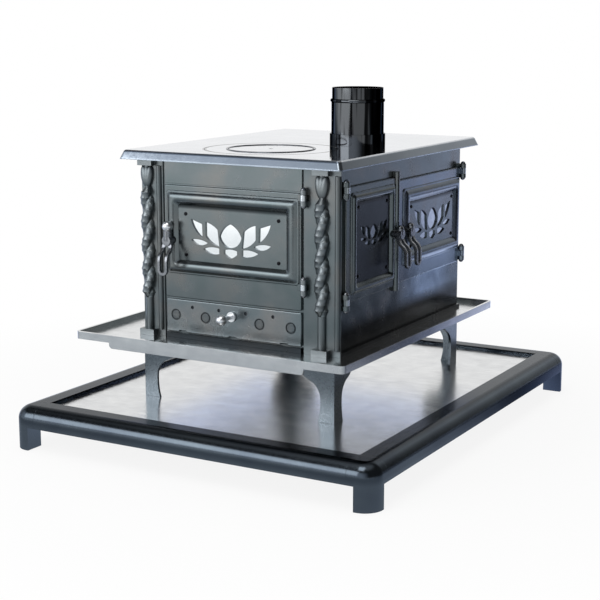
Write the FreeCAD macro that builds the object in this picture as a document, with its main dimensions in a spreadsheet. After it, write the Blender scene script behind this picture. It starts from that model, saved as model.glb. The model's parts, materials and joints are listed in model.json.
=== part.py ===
import FreeCAD, Part
import math
import os
import Sketcher
from types import SimpleNamespace

# Wood cook stove on a hearth tray. Millimetres, +X right along the front, +Y to the back, +Z up.
# The origin is on the floor, under the middle of the tray.

SIZES = {
    # hearth tray
    "tray_width": 900,
    "tray_depth": 1110,
    "tray_foot_height": 52,
    "tray_foot_width": 45,
    "rail_width": 62,
    "rail_height": 45,
    "rail_round": 30,
    "rail_wall": 3,
    "corner_round": 40,
    "ledge_width": 15,
    "sheet_drop": 8.5,
    "sheet_thick": 2,
    "board_thick": 12,
    # stand: legs and the shelf round the foot of the casing
    "body_x": -15,
    "body_y": 19,
    "leg_height": 137.5,
    "leg_wall": 6,
    "leg_top_width": 88,
    "leg_waist_width": 34,
    "leg_foot_width": 40,
    "leg_waist_height": 50,
    "leg_foot_bow": 150,
    "leg_pad_width": 60,
    "leg_pad_thick": 8,
    "leg_inset_x": 7,
    "leg_inset_y": -4,
    "leg_bolt_inset": 38,
    "leg_bolt_radius": 5,
    "leg_bolt_gap": 0.3,
    "leg_bolt_head_radius": 9,
    "leg_bolt_head_thick": 6,
    "shelf_thick": 6,
    "shelf_rim_height": 17,
    "shelf_rim_wall": 6,
    "shelf_reach_front": 93.5,
    "shelf_reach_rear": 64,
    "shelf_reach_left": 121,
    "shelf_reach_right": 62,
    "shelf_round": 12,
    "skirt_width": 500,
    "skirt_drop": 13,
    "skirt_round": 9,
    # casing
    "body_width": 506,
    "body_depth": 645,
    "casing_height": 402,
    "casing_floor": 8,
    "sill_proud": 8,
    "sill_gap": 2,
    "panel_wall": 8,
    "front_inset": 12,
    "side_inset": 7,
    "fascia_proud": 4,
    "fascia_gap": 3,
    "mullion_bead_radius": 8,
    "mullion_bead_proud": 5,
    "mullion_bead_overlap": 12,
    # pilasters on the front corners
    "pilaster_left_width": 57,
    "pilaster_right_width": 89,
    "pilaster_wall": 3,
    "pilaster_foot_height": 14,
    "pilaster_foot_width": 38,
    "pilaster_foot_proud": 19,
    "rope_left_inset": 16,
    "rope_right_inset": 44,
    "rope_strand_radius": 12.5,
    "rope_strand_offset": 5.5,
    "rope_axis_proud": 3,
    "rope_turn": 108,
    "rope_rise": 86,
    "rope_drop": 62,
    "shaft_radius": 10,
    "neck_radius": 7,
    "leaf_radius": 9.5,
    "leaf_thick": 7,
    "leaf_height": 50,
    "leaf_rise": 21,
    "leaf_proud": 3.5,
    "leaf_spread": 5.5,
    "leaf_lean": 9,
    "capital_height": 16,
    "capital_proud": 16,
    "bead_radius": 6.5,
    "bead_left_inset": 47,
    "bead_right_inset": 7,
    # doors
    "door_gap": 0.5,
    "door_thick": 7,
    "door_round": 4,
    "door_edge": 2,
    "door_lap": 6,
    "moulding_height": 7,
    "moulding_step": 2.5,
    "moulding_step_round": 2,
    "moulding_groove_share": 0.14,
    "moulding_outer_share": 0.36,
    "moulding_inner_share": 0.7,
    "moulding_round": 8,
    "groove_round": 6.4,
    "crest_outer_round": 5.6,
    "crest_inner_round": 4.8,
    "pane_round": 3.2,
    "screen_thick": 3.3,
    "backing_thick": 1.2,
    "screen_gap": 0.3,
    "screw_radius": 2.5,
    "screw_head_radius": 4.2,
    "screw_head_thick": 2,
    "boss_radius": 10.5,
    "boss_proud": 1,
    "fire_gap_left": 6,
    "fire_gap_right": 4,
    "fire_gap_bottom": 4,
    "fire_drop": 56,
    "fire_moulding_left": 6,
    "fire_moulding_right": 4,
    "fire_moulding_bottom": 55,
    "fire_moulding_top": 11.5,
    "fire_moulding_width": 31,
    "fire_moulding_bow": 15,
    "fire_screw_inset": 20,
    "fire_screw_low": 13,
    "fire_screw_high": 20,
    "fire_latch_inset": 22,
    "fire_latch_rise": 131,
    "fire_latch_reach": 25,
    "fire_low_hinge": 53,
    "fire_high_hinge": 9,
    "fire_lotus_width": 204,
    "fire_lotus_x": -3,
    "fire_lotus_z": -8,
    "side_edge_inset": 31.5,
    "side_gap_middle": 8.5,
    "side_rise": 114,
    "side_drop": 42,
    "side_moulding_left": 21,
    "side_moulding_right": 4,
    "side_moulding_bottom": 14,
    "side_moulding_top": 13,
    "side_moulding_width": 22,
    "side_moulding_bow": 8,
    "side_screw_inset": 13,
    "side_screw_low": 14,
    "side_screw_high": 12,
    "side_latch_inset": 15,
    "side_latch_rise": 122,
    "side_latch_reach": 20,
    "side_low_hinge": 4,
    "side_high_hinge": 4,
    "side_lotus_width": 128,
    "side_lotus_x": 6,
    "side_lotus_z": 10,
    "oven_edge_inset": 16.5,
    "oven_gap_middle": 14.5,
    "oven_rise": 118,
    "oven_drop": 51,
    "oven_moulding_left": 20,
    "oven_moulding_right": 4,
    "oven_moulding_bottom": 34,
    "oven_moulding_top": 21,
    "oven_moulding_width": 32,
    "oven_moulding_bow": 15,
    "oven_screw_inset": 12,
    "oven_screw_low": 10,
    "oven_screw_high": 13,
    "oven_latch_inset": 15,
    "oven_latch_rise": 118,
    "oven_latch_reach": 20,
    "oven_low_hinge": 20,
    "oven_high_hinge": 9,
    "oven_lotus_width": 204,
    "oven_lotus_x": 5,
    "oven_lotus_z": -5,
    # hinges
    "hinge_offset": 8.5,
    "hinge_proud": 12,
    "hinge_radius": 7.5,
    "hinge_pin_radius": 4,
    "hinge_pin_gap": 0.05,
    "hinge_head_radius": 6,
    "knuckle_height": 13,
    "lug_height": 10,
    "knuckle_gap": 0.5,
    "hinge_web": 4,
    "hinge_web_proud": 3,
    # latch levers
    "latch_shaft_radius": 5,
    "latch_shaft_gap": 0.05,
    "spindle_depth": 12,
    "latch_clear": 1,
    "latch_cam_thick": 5,
    "latch_cam_width": 9,
    "hub_gap": 0.3,
    "hub_radius": 11,
    "hub_length": 20,
    "lever_wall": 7,
    "lever_stand": 13,
    "lever_out": 20,
    "lever_drop": 40,
    "lever_start": 6,
    "lever_grip": 30,
    "lever_head_width": 16.8,
    "lever_top_width": 25,
    "lever_end_width": 25,
    "lever_strand": 6,
    "collar_radius": 9,
    "collar_height": 22,
    "cap_radius": 8,
    "cap_height": 20,
    "ball_radius": 12,
    "ball_sink": 2.4,
    # ash drawer
    "drawer_rise": 14,
    "drawer_height": 75,
    "drawer_front_thick": 6,
    "drawer_edge": 2.5,
    "drawer_mouth_margin": 30,
    "drawer_mouth_lap": 1,
    "drawer_mouth_drop": 9,
    "pan_gap": 5,
    "pan_gap_bottom": 2,
    "pan_gap_top": 4,
    "pan_length": 240,
    "pan_wall": 2,
    "runner_width": 14,
    "runner_inset": 16,
    "runner_gap": 0.3,
    "vent_radius": 4,
    "vent_pitch": 69.7,
    "vent_drop": 16,
    "rosette_radius": 12.5,
    "rosette_groove": 3,
    "rosette_depth": 1.2,
    "rosette_drop": 36,
    "rosette_inner_x": 70,
    "rosette_outer_x": 149,
    "notch_width": 20,
    "notch_height": 4,
    "notch_pitch": 132,
    "knob_drop": 26,
    "knob_stem_radius": 5,
    "knob_disc_radius": 11,
    "knob_disc_out": 6,
    "knob_disc_thick": 5,
    "knob_ball_radius": 12.5,
    "knob_ball_out": 44,
    # firebox and oven
    "hearth_drop": 3,
    "hearth_thick": 8,
    "bearer_width": 20,
    "bearer_thick": 8,
    "grate_width": 180,
    "grate_depth": 190,
    "grate_lap": 10,
    "grate_thick": 12,
    "grate_bar": 10,
    "grate_slots": 9,
    "partition_y": -49.5,
    "partition_wall": 6,
    "brick_thick": 30,
    "brick_left_drop": 74,
    "brick_rear_drop": 94,
    "brick_rear_inset": 53,
    "oven_wall": 2,
    "oven_box_inset": 103,
    "rack_rise": 90,
    "rack_rod_radius": 2.5,
    "rack_bar_radius": 2.25,
    "rack_gap": 1,
    "rack_rods": 9,
    "rack_mouth_gap": 24,
    "rack_rail_width": 10,
    "rack_rail_thick": 4,
    # top plate, rings and flue
    "plate_thick": 20.3,
    "plate_core": 12,
    "plate_slope": 7,
    "plate_round": 8,
    "plate_edge": 2.5,
    "plate_over_front": 41.5,
    "plate_over_rear": 41.3,
    "plate_over_left": 27,
    "plate_over_right": 26,
    "plate_seat": 20,
    "ring_x": 2.5,
    "ring_inset": 146.5,
    "ring_radius": 148,
    "ring_thick": 8,
    "ring_lap": 26,
    "ring_gap": 1.2,
    "ring_seat_gap": 0.2,
    "lid_radius": 94,
    "lid_thick": 4,
    "lid_lap": 8,
    "lid_hole_radius": 5,
    "flue_inset": 122,
    "flue_y": -5,
    "flue_radius": 60,
    "flue_wall": 1.2,
    "flue_fit": 0.3,
    "collar_wall": 3.2,
    "flue_collar_height": 28,
    "flue_collar_floor": 6,
    "flue_spigot_radius": 52,
    "flue_spigot_wall": 4,
    "flue_bead_rise": 102.7,
    "flue_bead_proud": 2.5,
    "flue_bead_half": 4,
    "flue_rise": 131.7,
    "flue_insert": 27,
    "flue_crimp": 2,
    "flue_lip": 1.8,
    "flue_lip_height": 3,
}

doc = FreeCAD.newDocument("CookStove")
sheet = doc.addObject("Spreadsheet::Sheet", "Sizes")
for row, (alias, value) in enumerate(SIZES.items(), 1):
    sheet.set(f"A{row}", alias)
    sheet.set(f"B{row}", str(value))
    sheet.setAlias(f"B{row}", alias)
doc.recompute()


class Size:
    """A length that knows its value and the sheet formula that gives it."""

    def __init__(self, value, formula):
        self.value = float(value)
        self.formula = formula

    def __float__(self):
        return self.value

    def __add__(self, other):
        other = as_size(other)
        return Size(self.value + other.value, f"({self.formula} + {other.formula})")

    def __sub__(self, other):
        other = as_size(other)
        return Size(self.value - other.value, f"({self.formula} - {other.formula})")

    def __mul__(self, factor):
        factor = as_size(factor)
        return Size(self.value * factor.value, f"({self.formula} * {factor.formula})")

    def __truediv__(self, divisor):
        divisor = as_size(divisor)
        return Size(self.value / divisor.value, f"({self.formula} / {divisor.formula})")

    def __neg__(self):
        return Size(-self.value, f"(0 - {self.formula})")

    def __radd__(self, other):
        return as_size(other) + self

    def __rsub__(self, other):
        return as_size(other) - self

    def __rmul__(self, other):
        return as_size(other) * self


def as_size(number):
    if isinstance(number, Size):
        return number
    return Size(number, f"({float(number)!r})")


d = SimpleNamespace(**{name: Size(sheet.get(name), f"Sizes.{name}") for name in SIZES})
NODES = []
# edges and faces within this distance of a level count as lying on it
ON_LEVEL = 0.01


def node(thing, label):
    """Keep an object as a piece of the stove under its own name."""
    thing.Label = label
    NODES.append(thing)
    return thing


def bind(thing, path, size):
    thing.setExpression(path, as_size(size).formula)


def move(thing, x=None, y=None, z=None):
    for axis, size in (("x", x), ("y", y), ("z", z)):
        if size is not None:
            bind(thing, f"Placement.Base.{axis}", size)
    return thing


def block(label, x, y, z):
    """A box between two named levels on each axis."""
    box = doc.addObject("Part::Box", label)
    for side, (low, high) in (("Length", x), ("Width", y), ("Height", z)):
        bind(box, side, high - low)
    return move(box, x[0], y[0], z[0])


ALONG = {
    "x": FreeCAD.Rotation(FreeCAD.Vector(0, 1, 0), 90),
    "y": FreeCAD.Rotation(FreeCAD.Vector(1, 0, 0), -90),
    "z": FreeCAD.Rotation(),
}


def rod(label, axis, x, y, z, radius, length):
    """A cylinder that starts at a point and runs along +X, +Y or +Z."""
    cylinder = doc.addObject("Part::Cylinder", label)
    cylinder.Placement = FreeCAD.Placement(FreeCAD.Vector(), ALONG[axis])
    bind(cylinder, "Radius", radius)
    bind(cylinder, "Height", length)
    return move(cylinder, x, y, z)


def ball(label, x, y, z, radius, low=-90, high=90):
    """A ball, or the part of it between two latitudes."""
    sphere = doc.addObject("Part::Sphere", label)
    sphere.Angle1 = low
    sphere.Angle2 = high
    bind(sphere, "Radius", radius)
    return move(sphere, x, y, z)


def group(label, pieces):
    compound = doc.addObject("Part::Compound", label)
    compound.Links = pieces
    return compound


def fuse(label, pieces):
    union = doc.addObject("Part::MultiFuse", label)
    union.Shapes = pieces
    union.Refine = True
    return union


def cut(label, base, tools):
    difference = doc.addObject("Part::Cut", label)
    difference.Base = base
    difference.Tool = tools[0] if len(tools) == 1 else group(f"{label}_cutters", tools)
    difference.Refine = True
    return difference


def body(label):
    return doc.addObject("PartDesign::Body", label)


def bent_edge(start, end, radius, side):
    """Arc from start to end whose centre lies left (+1) or right (-1) of the chord."""
    chord = end - start
    height = math.sqrt(max(radius ** 2 - chord.Length ** 2 / 4, 0.0))
    normal = FreeCAD.Vector(-chord.y, chord.x, 0) / chord.Length
    centre = (start + end) / 2 + normal * height * side
    first, last = (start, end) if side > 0 else (end, start)
    begin = math.atan2(first.y - centre.y, first.x - centre.x)
    finish = math.atan2(last.y - centre.y, last.x - centre.x)
    if finish < begin:
        finish += 2 * math.pi
    return Part.ArcOfCircle(Part.Circle(centre, FreeCAD.Vector(0, 0, 1), radius), begin, finish)


def sketch(owner, plane, offset, loops):
    """A fully constrained sketch on one of the body's own planes, moved along its normal.

    A loop is a list of corners (x, y), or (x, y, radius, side) where the edge that leaves
    the corner is an arc, or a single circle (x, y, radius).
    """
    drawing = owner.newObject("Sketcher::SketchObject", f"{owner.Name}_sketch")
    planes = {feature.Role: feature for feature in owner.Origin.OriginFeatures}
    drawing.AttachmentSupport = (planes[plane], [""])
    drawing.MapMode = "FlatFace"
    bind(drawing, "AttachmentOffset.Base.z", offset)

    def measure(kind, geometry, point, size):
        size = as_size(size)
        index = drawing.addConstraint(Sketcher.Constraint(kind, -1, 1, geometry, point, size.value))
        drawing.setExpression(f"Constraints[{index}]", size.formula)

    def bend(geometry, size):
        size = as_size(size)
        index = drawing.addConstraint(Sketcher.Constraint("Radius", geometry, size.value))
        drawing.setExpression(f"Constraints[{index}]", size.formula)

    for loop in loops:
        if isinstance(loop, tuple):
            x, y, radius = loop
            centre = FreeCAD.Vector(float(x), float(y), 0)
            circle = Part.Circle(centre, FreeCAD.Vector(0, 0, 1), float(radius))
            number = drawing.addGeometry(circle)
            bend(number, radius)
            measure("DistanceX", number, 3, x)
            measure("DistanceY", number, 3, y)
            continue
        corners = [FreeCAD.Vector(float(corner[0]), float(corner[1]), 0) for corner in loop]
        ends = corners[1:] + corners[:1]
        edges = []
        for corner, start, end in zip(loop, corners, ends):
            if len(corner) == 4:
                edge = bent_edge(start, end, float(corner[2]), corner[3])
                edges.append((drawing.addGeometry(edge), 1 if corner[3] > 0 else 2))
            else:
                edges.append((drawing.addGeometry(Part.LineSegment(start, end)), 1))
        for (number, start), (following, start_next) in zip(edges, edges[1:] + edges[:1]):
            meeting = Sketcher.Constraint("Coincident", number, 3 - start, following, start_next)
            drawing.addConstraint(meeting)
        for corner, (number, start) in zip(loop, edges):
            measure("DistanceX", number, start, corner[0])
            measure("DistanceY", number, start, corner[1])
            if len(corner) == 4:
                bend(number, corner[2])
    return drawing


def rectangle(x, y):
    return [(x[0], y[0]), (x[1], y[0]), (x[1], y[1]), (x[0], y[1])]


def rounded(x, y, radius):
    """A rectangle with round corners, drawn anticlockwise."""
    return [
        (x[0] + radius, y[0]), (x[1] - radius, y[0], radius, 1),
        (x[1], y[0] + radius), (x[1], y[1] - radius, radius, 1),
        (x[1] - radius, y[1]), (x[0] + radius, y[1], radius, 1),
        (x[0], y[1] - radius), (x[0], y[0] + radius, radius, 1),
    ]


def pad(owner, plane, offset, loops, length, reverse=False):
    feature = owner.newObject("PartDesign::Pad", f"{owner.Name}_pad")
    feature.Profile = sketch(owner, plane, offset, loops)
    feature.Reversed = reverse
    bind(feature, "Length", length)
    return feature


def pocket(owner, plane, offset, loops, length, reverse=False):
    feature = owner.newObject("PartDesign::Pocket", f"{owner.Name}_pocket")
    feature.Profile = sketch(owner, plane, offset, loops)
    feature.Reversed = reverse
    bind(feature, "Length", length)
    return feature


def turned(label, outline):
    """A solid of revolution about the body's Z axis from an outline of (radius, height)."""
    owner = body(label)
    feature = owner.newObject("PartDesign::Revolution", f"{label}_turning")
    feature.Profile = sketch(owner, "XZ_Plane", 0, [outline])
    feature.ReferenceAxis = (feature.Profile[0], ["V_Axis"])
    feature.Angle = 360
    return owner


def fillet(owner, base, radius, wanted):
    """Round the edges of a feature that the wanted test picks."""
    doc.recompute()
    names = [f"Edge{i}" for i, edge in enumerate(base.Shape.Edges, 1) if wanted(edge)]
    feature = owner.newObject("PartDesign::Fillet", f"{owner.Name}_fillet")
    feature.Base = (base, names)
    bind(feature, "Radius", radius)
    return feature


# levels and planes that several pieces share
rail_bottom = d.tray_foot_height
rail_top = rail_bottom + d.rail_height
sheet_top = rail_top - d.sheet_drop
board_top = sheet_top - d.sheet_thick
ledge_top = board_top - d.board_thick
tray_right = d.tray_width / 2
tray_rear = d.tray_depth / 2
shelf_under = sheet_top + d.leg_height
shelf_floor = shelf_under + d.shelf_thick
casing_base = shelf_floor + d.casing_floor
casing_top = shelf_floor + d.casing_height
plate_top = casing_top + d.plate_thick
half_width = d.body_width / 2
half_depth = d.body_depth / 2
body_left = d.body_x - half_width
body_right = d.body_x + half_width
body_front = d.body_y - half_depth
body_rear = d.body_y + half_depth
front_face = body_front + d.front_inset
front_back = front_face + d.panel_wall
left_face = body_left + d.side_inset
left_back = left_face + d.panel_wall
right_face = body_right - d.side_inset
right_back = right_face - d.panel_wall
rear_back = body_rear - d.panel_wall
partition_front = d.body_y + d.partition_y
partition_back = partition_front + d.partition_wall
d.rope_left_x = d.rope_left_inset - half_width
d.rope_right_x = half_width - d.rope_right_inset
d.rope_bottom = shelf_floor + d.rope_rise
d.rope_top = casing_top - d.rope_drop
d.bead_left_x = d.bead_left_inset - half_width
d.bead_right_x = half_width - d.bead_right_inset
d.drawer_bottom = shelf_floor + d.drawer_rise
d.drawer_top = d.drawer_bottom + d.drawer_height
d.drawer_mouth_bottom = d.drawer_bottom + d.drawer_mouth_lap
d.drawer_mouth_top = d.drawer_top - d.drawer_mouth_drop
d.pan_bottom = d.drawer_mouth_bottom + d.pan_gap_bottom
d.pan_top = d.drawer_mouth_top - d.pan_gap_top
d.fire_left = d.pilaster_left_width + d.fire_gap_left - half_width
d.fire_right = half_width - d.pilaster_right_width - d.fire_gap_right
d.fire_bottom = d.drawer_top + d.fire_gap_bottom
d.fire_top = casing_top - d.fire_drop
d.side_left = d.side_edge_inset - half_depth
d.side_right = d.partition_y - d.side_gap_middle
d.side_bottom = shelf_floor + d.side_rise
d.side_top = casing_top - d.side_drop
d.oven_left = d.partition_y + d.oven_gap_middle
d.oven_right = half_depth - d.oven_edge_inset
d.oven_bottom = shelf_floor + d.oven_rise
d.oven_top = casing_top - d.oven_drop
hearth_bottom = d.fire_bottom - d.hearth_drop
hearth_top = hearth_bottom + d.hearth_thick
pan_margin = d.drawer_mouth_margin + d.pan_gap
pan_x = (d.fire_left + pan_margin, d.fire_right - pan_margin)
pin_span = d.knuckle_height + d.knuckle_gap * 2 + d.lug_height * 2
rack_bottom = d.oven_bottom + d.rack_rise
oven_x = (body_left + d.oven_box_inset, right_back)
oven_y = (partition_back, d.body_y + d.oven_right - d.door_lap + d.oven_wall)
oven_z = (d.oven_bottom + d.door_lap - d.oven_wall, d.oven_top - d.door_lap + d.oven_wall)
flue_place = (body_right - d.flue_inset, d.body_y + d.flue_y)


def quarter_turn(thing, turn):
    """Turn a piece about the vertical through its own origin."""
    thing.Placement = FreeCAD.Placement(
        FreeCAD.Vector(), FreeCAD.Rotation(FreeCAD.Vector(0, 0, 1), turn))
    return thing


def on_front(thing):
    """Place a piece drawn on the front panel: x from the middle, outward is -Y."""
    return move(thing, d.body_x, front_face)


def on_right(thing):
    """Place a piece drawn on the right panel: x runs to the back, outward is +X."""
    return move(quarter_turn(thing, 90), right_face, d.body_y)


def tray_rails():
    """Four folded rails with a bullnose outside and a ledge inside for the hearth board."""
    w, r, t = d.rail_width, d.rail_round, d.rail_wall
    outline = [
        (0, rail_bottom), (t, rail_bottom), (t, rail_top - r, r - t, -1),
        (r, rail_top - t), (w - t, rail_top - t), (w - t, ledge_top - t),
        (w + d.ledge_width, ledge_top - t), (w + d.ledge_width, ledge_top), (w, ledge_top),
        (w, rail_top), (r, rail_top, r, 1), (0, rail_top - r),
    ]
    for label, turn, whole, across in (
        ("tray_front_rail", 0, d.tray_width, tray_rear),
        ("tray_right_rail", 90, d.tray_depth, tray_right),
        ("tray_rear_rail", 180, d.tray_width, tray_rear),
        ("tray_left_rail", 270, d.tray_depth, tray_right),
    ):
        rail = body(label)
        section = [(corner[0] - across, *corner[1:]) for corner in outline]
        length = whole - w * 2
        pad(rail, "YZ_Plane", length / -2, [section], length)
        if turn in (90, 270):
            ledge = (w - across, w - across + d.ledge_width)
            ends = [
                rectangle((length / -2, length / -2 + d.ledge_width), ledge),
                rectangle((length / 2 - d.ledge_width, length / 2), ledge),
            ]
            pocket(rail, "XY_Plane", ledge_top, ends, t)
        node(quarter_turn(rail, turn), label)


def tray_corners():
    """Corner castings: the rails' bullnose carried round the corner, over a quarter-round foot."""
    r = d.corner_round
    for label, turn, across, along in (
        ("tray_corner_front_left", 0, tray_right, tray_rear),
        ("tray_corner_front_right", 90, tray_rear, tray_right),
        ("tray_corner_rear_right", 180, tray_right, tray_rear),
        ("tray_corner_rear_left", 270, tray_rear, tray_right),
    ):
        corner = body(label)
        x, y = -across, -along

        def plan(size):
            far_x, far_y = x + size, y + size
            return [(x + r, y), (far_x, y), (far_x, far_y), (x, far_y), (x, y + r, r, 1)]

        def outer_rim(edge):
            middle = edge.CenterOfMass
            inside = float(d.rail_width) - ON_LEVEL
            return middle.z > float(rail_top) - ON_LEVEL and (
                middle.x < float(x) + inside and middle.y < float(y) + inside)

        top = pad(corner, "XY_Plane", rail_bottom, [plan(d.rail_width)], d.rail_height)
        fillet(corner, top, d.rail_round, outer_rim)
        pad(corner, "XY_Plane", 0, [plan(d.tray_foot_width)], rail_bottom)
        node(quarter_turn(corner, turn), label)


def tray_floor():
    """Insulating board on the rails' ledges, with a polished sheet over it."""
    x = (-tray_right + d.rail_width, tray_right - d.rail_width)
    y = (-tray_rear + d.rail_width, tray_rear - d.rail_width)
    node(block("tray_board", x, y, (ledge_top, board_top)), "tray_board")
    node(block("tray_sheet", x, y, (board_top, sheet_top)), "tray_sheet")


LEGS = {
    "leg_front_left": (-1, -1, 0),
    "leg_front_right": (1, -1, 90),
    "leg_rear_right": (1, 1, 180),
    "leg_rear_left": (-1, 1, 270),
}
leg_reach_x = half_width - d.leg_inset_x
leg_reach_y = half_depth - d.leg_inset_y
bolt_places = [
    (d.body_x + side * (leg_reach_x - d.leg_bolt_inset),
     d.body_y + end * (leg_reach_y - d.leg_bolt_inset))
    for side, end, turn in LEGS.values()
]


def legs():
    """Cast angle legs: each flange flares in an S to a bracket and turns out again at the foot."""
    wall, waist, rise = d.leg_wall, d.leg_waist_width, d.leg_waist_height
    flare_top = d.leg_height - d.leg_pad_thick
    half_flare = (flare_top - rise) / 2
    half_spread = (d.leg_top_width - waist) / 2
    bow = (half_flare * half_flare + half_spread * half_spread) / (half_spread * 2)
    flange = [
        (0, 0), (d.leg_foot_width, 0, d.leg_foot_bow, -1), (waist, rise, bow, -1),
        (waist + half_spread, rise + half_flare, bow, 1), (d.leg_top_width, flare_top),
        (d.leg_top_width, d.leg_height), (0, d.leg_height),
    ]
    square = (0, d.leg_pad_width)
    hole = (d.leg_bolt_inset, d.leg_bolt_inset, d.leg_bolt_radius + d.leg_bolt_gap)
    for label, (side, end, turn) in LEGS.items():
        leg = body(label)
        pad(leg, "XZ_Plane", -wall, [flange], wall)
        pad(leg, "YZ_Plane", 0, [flange], wall)
        pad(leg, "XY_Plane", flare_top, [rectangle(square, square)], d.leg_pad_thick)
        pocket(leg, "XY_Plane", d.leg_height, [hole], d.leg_pad_thick)
        quarter_turn(leg, turn)
        node(move(leg, d.body_x + side * leg_reach_x, d.body_y + end * leg_reach_y, sheet_top), label)


def leg_bolts():
    """One bolt and nut per leg through the bracket, the shelf and the casing floor."""
    bolts = []
    head = shelf_under - d.leg_pad_thick - d.leg_bolt_head_thick
    for number, (x, y) in enumerate(bolt_places):
        shank = rod(f"bolt_shank_{number}", "z", x, y, head, d.leg_bolt_radius,
                    casing_base + d.leg_bolt_head_thick - head)
        cap = rod(f"bolt_head_{number}", "z", x, y, head, d.leg_bolt_head_radius, d.leg_bolt_head_thick)
        nut = rod(f"bolt_nut_{number}", "z", x, y, casing_base, d.leg_bolt_head_radius,
                  d.leg_bolt_head_thick)
        bolts.append(fuse(f"bolt_{number}", [shank, cap, nut]))
    node(group("leg_bolts", bolts), "leg_bolts")


def shelf():
    """Tray-edged shelf under the casing, with a shallow skirt below its front rim."""
    x = (body_left - d.shelf_reach_left, body_right + d.shelf_reach_right)
    y = (body_front - d.shelf_reach_front, body_rear + d.shelf_reach_rear)
    w, r = d.shelf_rim_wall, d.skirt_round
    inner_x, inner_y = (x[0] + w, x[1] - w), (y[0] + w, y[1] - w)
    rim_top = shelf_under + d.shelf_rim_height
    plate = body("shelf")
    pad(plate, "XY_Plane", shelf_under, [rounded(x, y, d.shelf_round)], d.shelf_rim_height)
    well = rounded(inner_x, inner_y, d.shelf_round - w)
    pocket(plate, "XY_Plane", rim_top, [well], d.shelf_rim_height - d.shelf_thick)
    left = (x[0] + x[1]) / 2 - d.skirt_width / 2
    right = left + d.skirt_width
    low = shelf_under - d.skirt_drop
    apron = [
        (left + r, low), (right - r, low, r, 1), (right, low + r), (right, shelf_under),
        (left, shelf_under), (left, low + r, r, 1),
    ]
    pad(plate, "XZ_Plane", -(y[0] + w), [apron], w)
    holes = [(bx, by, d.leg_bolt_radius + d.leg_bolt_gap) for bx, by in bolt_places]
    pocket(plate, "XY_Plane", shelf_floor, holes, d.shelf_thick)
    node(plate, "shelf")


def casing():
    """Floor with cast drawer runners, and four panels; the right one carries mullion and hinge lugs."""
    wall = d.panel_wall
    floor = block("floor_slab", (body_left, body_right), (front_face, body_rear),
                  (shelf_floor, casing_base))
    sill = block("floor_sill", (d.body_x + d.fire_left, d.body_x + d.fire_right),
                 (front_face - d.sill_proud, front_face), (shelf_floor, d.drawer_bottom - d.sill_gap))
    runners = []
    for label, low in (("left", d.body_x + pan_x[0] + d.runner_inset),
                       ("right", d.body_x + pan_x[1] - d.runner_inset - d.runner_width)):
        runners.append(block(f"runner_{label}", (low, low + d.runner_width),
                             (front_back, front_face + d.pan_length),
                             (casing_base, d.pan_bottom - d.runner_gap)))
    holes = [
        rod(f"floor_hole_{i}", "z", x, y, shelf_floor, d.leg_bolt_radius + d.leg_bolt_gap, d.casing_floor)
        for i, (x, y) in enumerate(bolt_places)
    ]
    node(cut("bottom_plate", fuse("floor_casting", [floor, sill] + runners), holes), "bottom_plate")

    height = (casing_base, casing_top)
    span = (d.side_inset - half_width, half_width - d.side_inset)
    sheet_front = block("front_sheet", span, (0, wall), height)
    fascia = block("front_fascia", (d.fire_left, d.fire_right), (-d.fascia_proud, 0),
                   (d.fire_top + d.fascia_gap, casing_top))
    through = (0, wall)
    front = cut("front_panel", fuse("front_casting", [sheet_front, fascia]), [
        block("fire_mouth", *mouth("fire", through)),
        block("drawer_mouth", (d.fire_left + d.drawer_mouth_margin, d.fire_right - d.drawer_mouth_margin),
              through, (d.drawer_mouth_bottom, d.drawer_mouth_top)),
    ])
    node(on_front(front), "front_panel")

    node(block("left_panel", (left_face, left_back), (front_back, body_rear), height), "left_panel")
    node(block("rear_panel", (left_back, right_back), (rear_back, body_rear), height), "rear_panel")

    sheet_right = block("right_sheet", (front_back - d.body_y, half_depth), (0, wall), height)
    bead_x = (d.side_right + d.oven_left) / 2
    bead_low = d.side_bottom - d.mullion_bead_overlap
    mullion = rod("mullion_bead", "z", bead_x, -d.mullion_bead_proud, bead_low, d.mullion_bead_radius,
                  d.side_top + d.mullion_bead_overlap - bead_low)
    lugs = hinge_lugs("side") + hinge_lugs("oven")
    right = cut("right_panel", fuse("right_casting", [sheet_right, mullion] + lugs), [
        block("side_mouth", *mouth("side", through)),
        block("oven_mouth", *mouth("oven", through)),
    ] + pin_holes("side", "panel") + pin_holes("oven", "panel"))
    node(on_right(right), "right_panel")


def door_size(door, name):
    return getattr(d, f"{door}_{name}")


def mouth(door, depth):
    """Opening in the panel behind a door, as the three ranges of a box."""
    lap = d.door_lap
    return (
        (door_size(door, "left") + lap, door_size(door, "right") - lap),
        depth,
        (door_size(door, "bottom") + lap, door_size(door, "top") - lap),
    )


# side of the door on which its hinges sit: +1 at the end of its local x, -1 at the start
HINGE_SIDE = {"fire": 1, "side": -1, "oven": 1}


def hinge_x(door):
    if HINGE_SIDE[door] > 0:
        return door_size(door, "right") + d.hinge_offset
    return door_size(door, "left") - d.hinge_offset


def hinge_levels(door):
    """Height of the middle of each hinge of a door."""
    return [
        door_size(door, "bottom") + door_size(door, "low_hinge"),
        door_size(door, "top") - door_size(door, "high_hinge"),
    ]


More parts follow.
